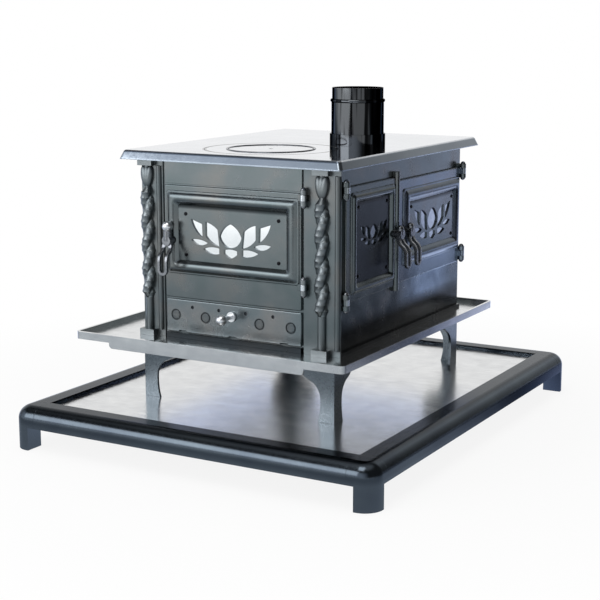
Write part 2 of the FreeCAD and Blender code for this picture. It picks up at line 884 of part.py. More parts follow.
def hinge_lugs(door):
    """Lugs cast on the frame above and below each knuckle."""
    x, side = hinge_x(door), HINGE_SIDE[door]
    back = (x - d.hinge_web, x + d.hinge_radius)
    if side < 0:
        back = (x - d.hinge_radius, x + d.hinge_web)
    lugs = []
    for number, level in enumerate(hinge_levels(door)):
        upper = level + d.knuckle_height / 2 + d.knuckle_gap
        lower = level - d.knuckle_height / 2 - d.knuckle_gap - d.lug_height
        for name, low in (("upper", upper), ("lower", lower)):
            label = f"{door}_lug_{number}_{name}"
            lugs.append(rod(label, "z", x, -d.hinge_proud, low, d.hinge_radius, d.lug_height))
            lugs.append(block(f"{label}_root", back, (-d.hinge_proud, 0), (low, low + d.lug_height)))
    return lugs


def pin_holes(door, owner):
    """Holes for the hinge pins of a door."""
    return [
        rod(f"{owner}_{door}_pin_hole_{number}", "z", hinge_x(door), -d.hinge_proud,
            level - pin_span / 2, d.hinge_pin_radius + d.hinge_pin_gap, pin_span)
        for number, level in enumerate(hinge_levels(door))
    ]


def hinge_pins():
    """Pins through lugs and knuckles, riveted to a dome at both ends."""
    pins = []
    for door in HINGE_SIDE:
        x, y = hinge_x(door), -d.hinge_proud
        if door == "fire":
            x, y = d.body_x + x, front_face + y
        else:
            x, y = right_face - y, d.body_y + x
        for number, level in enumerate(hinge_levels(door)):
            low, top = level - pin_span / 2, level + pin_span / 2
            tag = f"{door}_pin_{number}"
            shank = rod(f"{tag}_shank", "z", x, y, low, d.hinge_pin_radius, pin_span)
            domes = [ball(f"{tag}_foot", x, y, low, d.hinge_head_radius, -90, 0),
                     ball(f"{tag}_head", x, y, top, d.hinge_head_radius, 0, 90)]
            pins.append(fuse(tag, [shank] + domes))
    node(group("hinge_pins", pins), "hinge_pins")


# sections of the rope in one full turn of its strands
ROPE_STEPS = 8


def rope_section(z, turn, scale):
    """Outline of two round strands side by side, turned and scaled, as four arcs."""
    r, offset = float(d.rope_strand_radius) * scale, float(d.rope_strand_offset) * scale
    waist = math.sqrt(r * r - offset * offset)
    middle = math.pi - math.asin(waist / r)
    place = FreeCAD.Placement(
        FreeCAD.Vector(0, 0, z), FreeCAD.Rotation(FreeCAD.Vector(0, 0, 1), turn))
    edges = []
    for side in (1, -1):
        for low, high in ((-middle, 0), (0, middle)):
            angles = [low, (low + high) / 2, high]
            points = [
                FreeCAD.Vector(side * (offset + r * math.cos(angle)), side * r * math.sin(angle), 0)
                for angle in angles
            ]
            edges.append(Part.Arc(*[place.multVec(point) for point in points]).toShape())
    return Part.Wire(edges)


def rope(label):
    """Rope-twist column: two strands wound round each other, thinned to the shaft at both ends."""
    low, high, step = float(d.rope_bottom), float(d.rope_top), float(d.rope_turn) / ROPE_STEPS
    count = round((high - low) / step)
    thin = float(d.shaft_radius) / float(d.rope_strand_radius + d.rope_strand_offset)
    sections = []
    for i in range(count + 1):
        ends = i in (0, count)
        z = low + (high - low) * i / count
        sections.append(rope_section(z, 360 / ROPE_STEPS * i, thin if ends else 1))
    column = doc.addObject("Part::Feature", label)
    column.Shape = Part.makeLoft(sections, True, True)
    return column


def leaf(label, x, y, z, side):
    """One leaf of the capital, upright in the middle and leaning out at the sides."""
    blade = doc.addObject("Part::Ellipsoid", label)
    bind(blade, "Radius1", d.leaf_height / 2)
    bind(blade, "Radius2", d.leaf_radius)
    bind(blade, "Radius3", d.leaf_thick)
    blade.Angle1 = -90
    blade.Angle2 = 90
    blade.Placement = FreeCAD.Placement(
        FreeCAD.Vector(), FreeCAD.Rotation(FreeCAD.Vector(0, 1, 0), float(d.leaf_lean) * side))
    return move(blade, x + d.leaf_spread * side, y, z)


def pilaster(label, x_range, rope_x, bead_x, extras, holes):
    """Corner pilaster in one casting: strip, foot, plain shaft, rope, leaf capital and bead."""
    y = -d.rope_axis_proud
    foot_top = shelf_floor + d.pilaster_foot_height
    half = d.pilaster_foot_width / 2
    cap_x = (rope_x - half, rope_x + half)
    rise = casing_top - d.capital_height
    pieces = [
        block(f"{label}_strip", x_range, (-d.pilaster_wall, 0), (shelf_floor, casing_top)),
        block(f"{label}_foot", cap_x, (-d.pilaster_foot_proud, 0), (shelf_floor, foot_top)),
        rod(f"{label}_shaft", "z", rope_x, y, foot_top, d.shaft_radius, d.rope_bottom - foot_top),
        move(rope(f"{label}_rope"), rope_x, y),
        block(f"{label}_cap", cap_x, (-d.capital_proud, 0), (rise, casing_top)),
        rod(f"{label}_bead", "z", bead_x, -d.pilaster_wall, foot_top, d.bead_radius, rise - foot_top),
        rod(f"{label}_neck", "z", rope_x, y, d.rope_top, d.neck_radius, rise - d.rope_top),
    ]
    for number, side in enumerate((-1, 0, 1)):
        pieces.append(leaf(f"{label}_leaf_{number}", rope_x, y - d.leaf_proud, d.rope_top + d.leaf_rise,
                           side))
    swell = d.rope_strand_radius + d.rope_strand_offset
    behind = block(f"{label}_behind", (x_range[0] - swell, x_range[1] + swell), (0, swell * 2),
                   (shelf_floor, casing_top))
    casting = cut(label, fuse(f"{label}_casting", pieces + extras), [behind] + holes)
    node(on_front(casting), label)


def pilasters():
    """Left pilaster, and the right one with the fire door's hinge lugs."""
    pilaster("pilaster_left", (-half_width, d.pilaster_left_width - half_width),
             d.rope_left_x, d.bead_left_x, [], [])
    pilaster("pilaster_right", (half_width - d.pilaster_right_width, half_width),
             d.rope_right_x, d.bead_right_x, hinge_lugs("fire"), pin_holes("fire", "panel"))


# lotus cut-outs in parts of half the flower's width: a corner is (x, z), or (x, z, radius)
# where the edge that leaves it bows out
LOTUS_MIDDLE = [
    [(0.0, 0.34, 0.44), (-0.276, 0.06, 0.281), (0.276, 0.06, 0.44)],
    [(-0.165, -0.232), (-0.165, -0.31, 0.5), (0.0, -0.404, 0.5), (0.165, -0.31),
     (0.165, -0.232, 0.5)],
]
LOTUS_LEFT = [
    [(-0.63, 0.35), (-0.63, 0.044, 0.5), (-0.285, -0.158), (-0.325, 0.197, 0.6)],
    [(-1.0, 0.39, 0.62), (-0.71, -0.01), (-0.72, 0.295)],
    [(-1.0, -0.06, 0.32), (-0.58, -0.108, 0.6)],
    [(-0.69, -0.246, 0.5), (-0.286, -0.325), (-0.286, -0.207, 0.6)],
]


def mirrored(petal):
    """The same petal on the other side of the flower, still drawn anticlockwise."""
    edges = [corner[2:] for corner in petal]
    return [
        (-petal[i][0], petal[i][1], *edges[i - 1]) for i in range(len(petal) - 1, -1, -1)
    ]


def lotus(x, z, half):
    """Outlines of the flower's cut-outs at its place and size."""
    loops = []
    for petal in LOTUS_MIDDLE + LOTUS_LEFT + [mirrored(petal) for petal in LOTUS_LEFT]:
        loop = []
        for corner in petal:
            point = (x + half * corner[0], z + half * corner[1])
            loop.append(point if len(corner) == 2 else (*point, half * corner[2], 1))
        loops.append(loop)
    return loops


def inset(x, z, amount):
    return (x[0] + amount, x[1] - amount), (z[0] + amount, z[1] - amount)


def loft(owner, kind, first, second):
    feature = owner.newObject(f"PartDesign::{kind}", f"{owner.Name}_slope")
    feature.Profile = first
    feature.Sections = [second]
    feature.Ruled = True
    return feature


def door(name, place):
    """A cast door with a raised moulding, lotus screen over a bright backing, lever and latch."""
    label = f"{name}_door"
    x = (door_size(name, "left"), door_size(name, "right"))
    z = (door_size(name, "bottom"), door_size(name, "top"))
    face = d.door_gap + d.door_thick
    crest = face + d.moulding_height
    boss_top = crest + d.boss_proud
    width = door_size(name, "moulding_width")
    frame_x = (x[0] + door_size(name, "moulding_left"), x[1] - door_size(name, "moulding_right"))
    frame_z = (z[0] + door_size(name, "moulding_bottom"), z[1] - door_size(name, "moulding_top"))
    pane_x, pane_z = inset(frame_x, frame_z, width)
    recess = d.screen_thick + d.backing_thick
    free = x[0] if HINGE_SIDE[name] > 0 else x[1]
    latch_x = free + door_size(name, "latch_inset") * HINGE_SIDE[name]
    latch_z = z[0] + door_size(name, "latch_rise")

    casting = body(f"{label}_casting")
    slab = pad(casting, "XZ_Plane", d.door_gap, [rounded(x, z, d.door_round)], d.door_thick)
    fillet(casting, slab, d.door_edge, lambda edge: abs(edge.CenterOfMass.y + float(face)) < ON_LEVEL)
    ledge = face + d.moulding_step
    outline = rounded(frame_x, frame_z, d.moulding_round)
    step = pad(casting, "XZ_Plane", face, [outline], d.moulding_step)
    fillet(casting, step, d.moulding_step_round,
           lambda edge: abs(edge.CenterOfMass.y + float(ledge)) < ON_LEVEL)

    def ring(share, radius):
        return [rounded(*inset(frame_x, frame_z, width * share), radius)]

    loft(casting, "AdditiveLoft",
         sketch(casting, "XZ_Plane", ledge, ring(d.moulding_groove_share, d.groove_round)),
         sketch(casting, "XZ_Plane", crest, ring(d.moulding_outer_share, d.crest_outer_round)))
    pane = [rounded(pane_x, pane_z, d.pane_round)]
    frame = loft(casting, "SubtractiveLoft",
                 sketch(casting, "XZ_Plane", crest, ring(d.moulding_inner_share, d.crest_inner_round)),
                 sketch(casting, "XZ_Plane", face, pane))
    fillet(casting, frame, door_size(name, "moulding_bow"),
           lambda edge: abs(edge.CenterOfMass.y + float(crest)) < ON_LEVEL)
    pocket(casting, "XZ_Plane", face, pane, recess)

    knuckles = []
    axis_x, web = hinge_x(name), (d.hinge_offset + d.hinge_web) * HINGE_SIDE[name]
    for number, level in enumerate(hinge_levels(name)):
        low = level - d.knuckle_height / 2
        knuckles.append(rod(f"{label}_knuckle_{number}", "z", axis_x, -d.hinge_proud, low,
                            d.hinge_radius, d.knuckle_height))
        reach = (axis_x - web, axis_x) if HINGE_SIDE[name] > 0 else (axis_x, axis_x - web)
        depth = (-d.hinge_proud - d.hinge_web_proud, -d.pilaster_wall - d.door_gap)
        knuckles.append(block(f"{label}_web_{number}", reach, depth, (low, low + d.knuckle_height)))
    boss = rod(f"{label}_boss", "y", latch_x, -boss_top, latch_z, d.boss_radius,
               boss_top - d.door_gap)
    shaft_hole = rod(f"{label}_shaft_hole", "y", latch_x, -boss_top, latch_z,
                     d.latch_shaft_radius + d.latch_shaft_gap, boss_top)
    whole = fuse(f"{label}_whole", [casting, boss] + knuckles)
    node(place(cut(label, whole, [shaft_hole] + pin_holes(name, "door"))), label)

    gap = d.screen_gap
    pane_sheet = [rounded(*inset(pane_x, pane_z, gap), d.pane_round)]
    screw_x = inset(pane_x, pane_z, door_size(name, "screw_inset"))[0]
    screw_z = (pane_z[0] + door_size(name, "screw_low"), pane_z[1] - door_size(name, "screw_high"))
    screws = [(sx, sz) for sx in screw_x for sz in screw_z]
    screw_holes = [(sx, sz, d.screw_radius + gap) for sx, sz in screws]
    screen = body(f"{label}_screen")
    back = face - d.screen_thick
    pad(screen, "XZ_Plane", back, pane_sheet, d.screen_thick)
    flower_x = (pane_x[0] + pane_x[1]) / 2 + door_size(name, "lotus_x")
    flower_z = (pane_z[0] + pane_z[1]) / 2 + door_size(name, "lotus_z")
    flower = lotus(flower_x, flower_z, door_size(name, "lotus_width") / 2)
    pocket(screen, "XZ_Plane", face, flower + screw_holes, d.screen_thick)
    node(place(screen), f"{label}_screen")
    backing = body(f"{label}_backing")
    pad(backing, "XZ_Plane", back - d.backing_thick, pane_sheet, d.backing_thick)
    pocket(backing, "XZ_Plane", back, screw_holes, d.backing_thick)
    node(place(backing), f"{label}_backing")

    heads = []
    for number, (sx, sz) in enumerate(screws):
        tag = f"{label}_screw_{number}"
        head = rod(f"{tag}_head", "y", sx, -(face + d.screw_head_thick), sz, d.screw_head_radius,
                   d.screw_head_thick)
        shank = rod(f"{tag}_shank", "y", sx, -(face + d.screw_head_thick), sz, d.screw_radius,
                    d.screw_head_thick + recess)
        heads.append(fuse(tag, [head, shank]))
    node(place(group(f"{label}_screws", heads)), f"{label}_screws")

    latch_and_lever(name, label, place, latch_x, latch_z, boss_top + d.hub_gap)


def latch_and_lever(name, label, place, x, z, foot):
    """Spindle with its cam inside, and the looped lever on the spindle outside."""
    cam_front = d.panel_wall + d.latch_clear
    cam_back = cam_front + d.latch_cam_thick
    half = d.latch_cam_width / 2
    spindle = rod(f"{label}_spindle", "y", x, -(foot + d.spindle_depth), z, d.latch_shaft_radius,
                  foot + d.spindle_depth + cam_back)
    cam = block(f"{label}_cam", (x - half, x + half), (cam_front, cam_back),
                (z - half, z + door_size(name, "latch_reach")))
    node(place(fuse(f"{label}_latch", [spindle, cam])), f"{label}_latch")

    wall, out, drop = d.lever_wall, d.lever_out, d.lever_drop
    t = wall / 2
    inner = foot + d.lever_stand
    outer = inner + out
    start = z - d.lever_start
    finish = start - drop
    end = finish - d.lever_grip
    bow = (out * out + drop * drop) / (out * 4)
    lean_along = (drop * drop - out * out) / (drop * drop + out * out)
    lean_across = out * drop * 2 / (drop * drop + out * out)
    mid_y, mid_z = (inner + outer) / 2, (start + finish) / 2
    head = z + d.lever_start
    side_view = body(f"{label}_lever_side")
    band = [
        (-(inner - t), head), (-(inner - t), start, bow + t, -1),
        (-(mid_y - t * lean_along), mid_z - t * lean_across, bow - t, 1), (-(outer - t), finish),
        (-(outer - t), end), (-(outer + t), end), (-(outer + t), finish, bow + t, -1),
        (-(mid_y + t * lean_along), mid_z + t * lean_across, bow - t, 1), (-(inner + t), start),
        (-(inner + t), head),
    ]
    wide, narrow, strand = d.lever_top_width / 2, d.lever_end_width / 2, d.lever_strand
    slim = d.lever_head_width / 2
    pad(side_view, "YZ_Plane", x - wide, [band], d.lever_top_width)
    front_view = body(f"{label}_lever_front")
    shoulder = start - d.lever_start
    loop = [
        (x - slim, head), (x - wide, shoulder), (x - narrow, end + narrow, narrow, 1),
        (x, end, narrow, 1), (x + narrow, end + narrow), (x + wide, shoulder), (x + slim, head),
    ]
    slot_wide, slot_narrow = wide - strand, narrow - strand
    slot_top = shoulder - slot_wide
    slot = [
        (x - slot_wide, slot_top), (x - slot_narrow, end + narrow, slot_narrow, 1),
        (x, end + strand, slot_narrow, 1), (x + slot_narrow, end + narrow),
        (x + slot_wide, slot_top, slot_wide, 1), (x, slot_top + slot_wide, slot_wide, 1),
    ]
    pad(front_view, "XZ_Plane", foot, [loop, slot], outer + wall - foot)
    grip = doc.addObject("Part::MultiCommon", f"{label}_grip")
    grip.Shapes = [side_view, front_view]
    hub = rod(f"{label}_hub", "y", x, -(foot + d.hub_length), z, d.hub_radius, d.hub_length)
    pieces = [grip, hub]
    if name == "fire":
        stem = rod(f"{label}_stem", "z", x, -inner, z, d.collar_radius, d.collar_height)
        pieces.append(stem)
        knob_z = z + d.collar_height + d.ball_radius - d.ball_sink
        knob = ball(f"{label}_ball", x, -inner, knob_z, d.ball_radius)
        node(place(cut(f"{label}_knob", knob, [stem])), f"{label}_handle_ball")
    else:
        rise = d.cap_height - d.cap_radius
        pieces.append(rod(f"{label}_stem", "z", x, -inner, z, d.cap_radius, rise))
        pieces.append(ball(f"{label}_finial", x, -inner, z + rise, d.cap_radius))
    socket = rod(f"{label}_socket", "y", x, -(foot + d.spindle_depth), z,
                 d.latch_shaft_radius + d.latch_shaft_gap, d.spindle_depth)
    lever = cut(f"{label}_handle", fuse(f"{label}_lever", pieces), [socket])
    node(place(lever), f"{label}_handle")


def ash_drawer():
    """Ash pan with its cast front and turned knob."""
    face = d.door_gap + d.drawer_front_thick
    x, z = (d.fire_left, d.fire_right), (d.drawer_bottom, d.drawer_top)
    middle = (x[0] + x[1]) / 2
    cutters = []
    for number, step in enumerate((-1.5, -0.5, 0.5, 1.5)):
        cutters.append(rod(f"vent_{number}", "y", middle + d.vent_pitch * step, -face,
                           d.drawer_top - d.vent_drop, d.vent_radius, d.drawer_front_thick))
    rosettes = (-d.rosette_outer_x, -d.rosette_inner_x, d.rosette_inner_x, d.rosette_outer_x)
    for number, reach in enumerate(rosettes):
        spot = (middle + reach, -face, d.drawer_top - d.rosette_drop)
        tag = f"rosette_{number}"
        rim = rod(f"{tag}_rim", "y", *spot, d.rosette_radius, d.rosette_depth)
        boss = rod(f"{tag}_boss", "y", *spot, d.rosette_radius - d.rosette_groove, d.rosette_depth)
        cutters.append(cut(tag, rim, [boss]))
    for number, step in enumerate((-1, 0, 1)):
        notch_x = middle + d.notch_pitch * step - d.notch_width / 2
        cutters.append(block(f"notch_{number}", (notch_x, notch_x + d.notch_width), (-face, -d.door_gap),
                             (z[0], z[0] + d.notch_height)))
    plate = body("drawer_plate")
    slab = pad(plate, "XZ_Plane", d.door_gap, [rounded(x, z, d.door_round)], d.drawer_front_thick)
    fillet(plate, slab, d.drawer_edge, lambda edge: abs(edge.CenterOfMass.y + float(face)) < ON_LEVEL)
    node(on_front(cut("drawer_front", plate, cutters)), "drawer_front")

    knob_z, out = d.drawer_top - d.knob_drop, d.knob_ball_out
    knob = fuse("drawer_knob", [
        rod("knob_stem", "y", middle, -(face + out), knob_z, d.knob_stem_radius, out),
        rod("knob_disc", "y", middle, -(face + d.knob_disc_out), knob_z, d.knob_disc_radius,
            d.knob_disc_thick),
        ball("knob_ball", middle, -(face + out), knob_z, d.knob_ball_radius),
    ])
    node(on_front(knob), "drawer_knob")

    wall, pan_y = d.pan_wall, (-d.door_gap, d.pan_length)
    tub = block("pan_tub", pan_x, pan_y, (d.pan_bottom, d.pan_top))
    well = block("pan_well", (pan_x[0] + wall, pan_x[1] - wall), (pan_y[0] + wall, pan_y[1] - wall),
                 (d.pan_bottom + wall, d.pan_top))
    node(on_front(cut("ash_pan", tub, [well])), "ash_pan")


def firebox():
    """Hearth plate and grate, brick linings, and the partition before the oven."""
    x, y = (left_back, right_back), (front_back, partition_front)
    brick_front = partition_front - d.brick_thick
    grate_y = (front_back + brick_front) / 2
    half_x, half_y = d.grate_width / 2, d.grate_depth / 2
    hole_x = (d.body_x - half_x + d.grate_lap, d.body_x + half_x - d.grate_lap)
    hole_y = (grate_y - half_y + d.grate_lap, grate_y + half_y - d.grate_lap)
    plate = block("hearth_plate", x, y, (hearth_bottom, hearth_top))
    hole = block("hearth_hole", hole_x, hole_y, (hearth_bottom, hearth_top))
    node(cut("firebox_floor", plate, [hole]), "firebox_floor")

    low = hearth_bottom - d.bearer_thick
    node(group("floor_bearers", [
        block("bearer_left", (left_back, left_back + d.bearer_width), y, (low, hearth_bottom)),
        block("bearer_right", (right_back - d.bearer_width, right_back), y, (low, hearth_bottom)),
    ]), "floor_bearers")

    grate_x = (d.body_x - half_x, d.body_x + half_x)
    slab = block("grate_slab", grate_x, (grate_y - half_y, grate_y + half_y),
                 (hearth_top, hearth_top + d.grate_thick))
    count = int(float(d.grate_slots))
    pitch = (d.grate_width - d.grate_lap * 2) / count
    slots = [
        block(f"grate_slot_{i}",
              (hole_x[0] + pitch * i + d.grate_bar / 2, hole_x[0] + pitch * (i + 1) - d.grate_bar / 2),
              hole_y, (hearth_top, hearth_top + d.grate_thick))
        for i in range(count)
    ]
    node(cut("grate", slab, slots), "grate")

    node(block("firebox_partition", x, (partition_front, partition_back), (casing_base, oven_z[1])),
         "firebox_partition")
    lining = left_back + d.brick_thick
    left_brick = block("firebrick_left", (left_back, lining), y,
                       (hearth_top, casing_top - d.brick_left_drop))
    node(left_brick, "firebrick_left")
    rear_brick = block("firebrick_rear", (lining, body_right - d.brick_rear_inset),
                       (brick_front, partition_front), (hearth_top, casing_top - d.brick_rear_drop))
    node(rear_brick, "firebrick_rear")


def oven():
    """Sheet oven box open to its door, with a wire rack on two rails."""
    wall = d.oven_wall
    shell = block("oven_shell", oven_x, oven_y, oven_z)
    inner_y, inner_z = inset(oven_y, oven_z, wall)
    space = block("oven_space", (oven_x[0] + wall, oven_x[1]), inner_y, inner_z)
    rail_x = (oven_x[0] + wall, oven_x[1] - d.rack_mouth_gap)
    rail_z = (rack_bottom - d.rack_rail_thick, rack_bottom)
    rails = [
        block("rack_rail_front", rail_x, (inner_y[0], inner_y[0] + d.rack_rail_width), rail_z),
        block("rack_rail_rear", rail_x, (inner_y[1] - d.rack_rail_width, inner_y[1]), rail_z),
    ]
    node(fuse("oven_box", [cut("oven_case", shell, [space])] + rails), "oven_box")

    r = d.rack_rod_radius
    rod_z = rack_bottom + r
    rack_x = (rail_x[0] + d.rack_gap, rail_x[1] - d.rack_gap)
    rack_y = (inner_y[0] + d.rack_gap + r, inner_y[1] - d.rack_gap - r)
    wires = [rod(f"rack_side_{i}", "x", rack_x[0], y, rod_z, r, rack_x[1] - rack_x[0])
             for i, y in enumerate(rack_y)]
    count = int(float(d.rack_rods))
    pitch = (rack_x[1] - rack_x[0] - r * 2) / (count - 1)
    wires += [rod(f"rack_bar_{i}", "y", rack_x[0] + r + pitch * i, rack_y[0], rod_z, d.rack_bar_radius,
                  rack_y[1] - rack_y[0]) for i in range(count)]
    node(fuse("oven_rack", wires), "oven_rack")


def cooktop():
    """Bevelled top plate on the casing, with a cooking ring and a lid let into it."""
    x = (body_left - d.plate_over_left, body_right + d.plate_over_right)
    y = (body_front - d.plate_over_front, body_rear + d.plate_over_rear)
    r = d.plate_round
    plate = body("cooktop_plate")
    bevel_top = plate_top - d.plate_edge

    def outline(reach):
        return [rounded(*inset(x, y, reach), r)]

    loft(plate, "AdditiveLoft", sketch(plate, "XY_Plane", casing_top, outline(0)),
         sketch(plate, "XY_Plane", bevel_top, outline(d.plate_slope)))
    loft(plate, "AdditiveLoft", sketch(plate, "XY_Plane", bevel_top, outline(d.plate_slope)),
         sketch(plate, "XY_Plane", plate_top, outline(d.plate_slope + d.plate_edge)))
    hollow = inset((left_face, right_face), (front_face, body_rear), d.plate_seat)
    pocket(plate, "XY_Plane", casing_top, [rectangle(*hollow)], d.plate_thick - d.plate_core, True)
    ring = (d.body_x + d.ring_x, body_front + d.ring_inset)
    pocket(plate, "XY_Plane", plate_top, [(*ring, d.ring_radius + d.ring_gap)], d.ring_thick)
    holes = [(*ring, d.ring_radius - d.ring_lap), (*flue_place, d.flue_spigot_radius)]
    pocket(plate, "XY_Plane", plate_top, holes, d.plate_thick)
    node(plate, "cooktop_plate")

    seat = d.lid_radius - d.lid_lap
    outer, rebate = d.ring_radius, d.lid_radius + d.ring_gap
    low, step = plate_top - d.ring_thick + d.ring_seat_gap, plate_top - d.lid_thick
    annulus = turned("cooking_ring", [
        (seat, low), (outer, low), (outer, plate_top), (rebate, plate_top), (rebate, step), (seat, step)])
    node(move(annulus, *ring), "cooking_ring")
    lid_low, lid_rise = step + d.ring_seat_gap, d.lid_thick - d.ring_seat_gap
    lid = rod("lid_disc", "z", *ring, lid_low, d.lid_radius, lid_rise)
    lift = rod("lid_hole", "z", *ring, lid_low, d.lid_hole_radius, lid_rise)
    node(cut("ring_lid", lid, [lift]), "ring_lid")


def flue():
    """Cast collar let into the plate, a beaded pipe in it and the crimped end of the next length."""
    spigot = d.flue_spigot_radius - d.flue_fit
    bore = spigot - d.flue_spigot_wall
    cup = d.flue_radius + d.flue_fit
    step, top = plate_top + d.flue_collar_floor, plate_top + d.flue_collar_height
    under = plate_top - d.plate_core
    collar = turned("flue_collar", [
        (bore, under), (spigot, under), (spigot, plate_top), (cup + d.collar_wall, plate_top),
        (cup + d.collar_wall, top), (cup, top), (cup, step), (bore, step)])
    node(move(collar, *flue_place), "flue_collar")

    r, wall, half, proud = d.flue_radius, d.flue_wall, d.flue_bead_half, d.flue_bead_proud
    bead_z = plate_top + d.flue_bead_rise
    inside, end = r - wall, bead_z + half
    bow = (half * half + proud * proud) / (proud * 2)
    lip, lip_low = inside - d.flue_lip, end - d.flue_lip_height
    pipe = turned("flue_pipe", [
        (inside, step), (r, step), (r, bead_z - half, bow, 1), (r, end), (lip, end),
        (lip, lip_low), (inside, lip_low)])
    node(move(pipe, *flue_place), "flue_pipe")
    outside, flue_top = inside - d.flue_fit, plate_top + d.flue_rise
    crimped, foot, shoulder = outside - d.flue_crimp, end - d.flue_insert, end + wall
    upper = turned("flue_pipe_upper", [
        (crimped - wall, foot), (crimped, foot), (crimped, end), (outside, end), (outside, flue_top),
        (outside - wall, flue_top), (outside - wall, shoulder), (crimped - wall, shoulder)])
    node(move(upper, *flue_place), "flue_pipe_upper")


for build in (tray_rails, tray_corners, tray_floor, legs, leg_bolts, shelf, casing, pilasters,
              hinge_pins):
    build()
door("fire", on_front)
door("side", on_right)
door("oven", on_right)
for build in (ash_drawer, firebox, oven, cooktop, flue):
    build()

doc.recompute()
for thing in doc.Objects:
    if "Invalid" in thing.State or "Error" in thing.State:
        raise RuntimeError(f"{thing.Name} failed: {thing.State}")
os.makedirs("parts", exist_ok=True)
for thing in NODES:
    if thing.Shape.isNull() or not thing.Shape.isValid():
        raise RuntimeError(f"{thing.Label} has no valid shape")
    thing.Shape.exportStep(f"parts/{thing.Label}.step")
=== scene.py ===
import json
import math

import bmesh
import bpy
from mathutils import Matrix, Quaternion, Vector


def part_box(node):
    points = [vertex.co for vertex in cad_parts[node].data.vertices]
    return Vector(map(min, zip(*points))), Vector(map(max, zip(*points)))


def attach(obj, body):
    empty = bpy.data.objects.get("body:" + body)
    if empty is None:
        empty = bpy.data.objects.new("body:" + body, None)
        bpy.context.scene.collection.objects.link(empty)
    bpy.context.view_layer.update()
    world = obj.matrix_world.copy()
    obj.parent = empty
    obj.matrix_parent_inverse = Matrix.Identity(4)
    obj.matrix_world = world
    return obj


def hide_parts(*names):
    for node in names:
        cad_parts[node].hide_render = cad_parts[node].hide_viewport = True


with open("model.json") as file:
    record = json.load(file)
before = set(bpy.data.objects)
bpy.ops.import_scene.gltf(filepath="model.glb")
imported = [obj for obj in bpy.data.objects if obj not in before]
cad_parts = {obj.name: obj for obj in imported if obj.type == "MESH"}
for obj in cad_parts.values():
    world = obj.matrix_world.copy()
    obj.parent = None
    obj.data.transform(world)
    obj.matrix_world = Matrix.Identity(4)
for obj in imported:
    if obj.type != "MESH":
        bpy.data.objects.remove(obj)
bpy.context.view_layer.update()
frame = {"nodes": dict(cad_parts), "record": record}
nodes = frame["nodes"]

MM = 0.001
MIDDLE = Vector((0, 0, 0))
RIGHT, BACK, UP = Vector((1, 0, 0)), Vector((0, 1, 0)), Vector((0, 0, 1))
FRONT, DOWN = -BACK, -UP

WHITE = "#ffffff"
# a colour blend's sockets by number, because their names repeat for each kind of value
BLEND_SHARE, BLEND_FIRST, BLEND_SECOND, BLEND_RESULT = 0, 6, 7, 2


def linear(code):
    """An sRGB hex colour as linear RGBA."""
    channels = [int(code[i:i + 2], 16) / 255 for i in (1, 3, 5)]
    return tuple(c / 12.92 if c <= 0.04045 else ((c + 0.055) / 1.055) ** 2.4 for c in channels) + (1.0,)


def add(tree, kind, settings=None, links=None):
    """Add a node, set its sockets, properties or ramp stops, and link sources into its sockets."""
    node = tree.nodes.new(kind)
    for key, value in (settings or {}).items():
        if key == "stops":
            line = node.color_ramp.elements
            while len(line) < len(value):
                line.new(0.5)
            for element, (position, tone) in zip(line, value):
                element.position = position
                element.color = linear(tone) if isinstance(tone, str) else (tone, tone, tone, 1.0)
        elif isinstance(key, int) or key in node.inputs:
            node.inputs[key].default_value = value
        else:
            setattr(node, key, value)
    for key, source in (links or {}).items():
        tree.links.new(source, node.inputs[key])
    return node


def per_mm(size):
    """Texture scale whose features are about this many millimetres across."""
    return 1.0 / (size * MM)


def surface(name, **sockets):
    """A new material with its shader's constant sockets set; returns material, tree, shader and place."""
    material = bpy.data.materials.new(name)
    material.use_nodes = True
    tree = material.node_tree
    shader = tree.nodes["Principled BSDF"]
    for key, value in sockets.items():
        shader.inputs[key.replace("_", " ")].default_value = value
    place = add(tree, "ShaderNodeTexCoord").outputs["Object"]
    return material, tree, shader, place


def tones_at(tree, reach, stops, unit=1.0):
    """Tones laid at distances in metres or another unit, blended between stops and held past the ends."""
    first, last = stops[0][0], stops[-1][0]
    span = last - first
    share = add(tree, "ShaderNodeMath", {"operation": "MULTIPLY_ADD", 1: 1 / (span * unit), 2: -first / span},
                {0: reach})
    laid = add(tree, "ShaderNodeValToRGB", {"stops": [((at - first) / span, tone) for at, tone in stops]},
               {"Fac": share.outputs[0]})
    return laid.outputs["Color"]


def tones_along(tree, place, way, stops, unit=1.0, zero=MIDDLE):
    """Tones laid along a way, at distances from a zero point."""
    reach = add(tree, "ShaderNodeVectorMath", {"operation": "DOT_PRODUCT", 1: way}, {0: place})
    past = add(tree, "ShaderNodeMath", {"operation": "SUBTRACT", 1: way.dot(zero)},
               {0: reach.outputs["Value"]})
    return tones_at(tree, past.outputs[0], stops, unit)


def retone(material, kind, second, share=1.0):
    """Blend a second colour into a material's base colour, by a fixed share or one from a socket."""
    tree = material.node_tree
    colour = tree.nodes["Principled BSDF"].inputs["Base Color"]
    tone = colour.links[0].from_socket
    blend = add(tree, "ShaderNodeMix", {"data_type": "RGBA", "blend_type": kind}, {BLEND_FIRST: tone})
    for socket, value in ((BLEND_SHARE, share), (BLEND_SECOND, second)):
        if isinstance(value, bpy.types.NodeSocket):
            tree.links.new(value, blend.inputs[socket])
        else:
            blend.inputs[socket].default_value = value
    tree.links.new(blend.outputs[BLEND_RESULT], colour)


# three tones of graphite polish each, from its dark clouds to its pale ones
GRAPHITE = ("#616b6d", "#6a7173", "#777775")
# painted light and shade: the drawer and oven graphites are lighter copies, the side screen's a darker one
DRAWER_LIT_GRAPHITE = ("#717c7f", "#7b8386", "#898988")
OVEN_LIT_GRAPHITE = ("#6a7682", "#737d89", "#7f828a")
OVEN_SCREEN_LIT_GRAPHITE = ("#69747a", "#727a80", "#7e7f82")
SIDE_SCREEN_SHADED_GRAPHITE = ("#2e3338", "#33383d", "#3b3c3f")
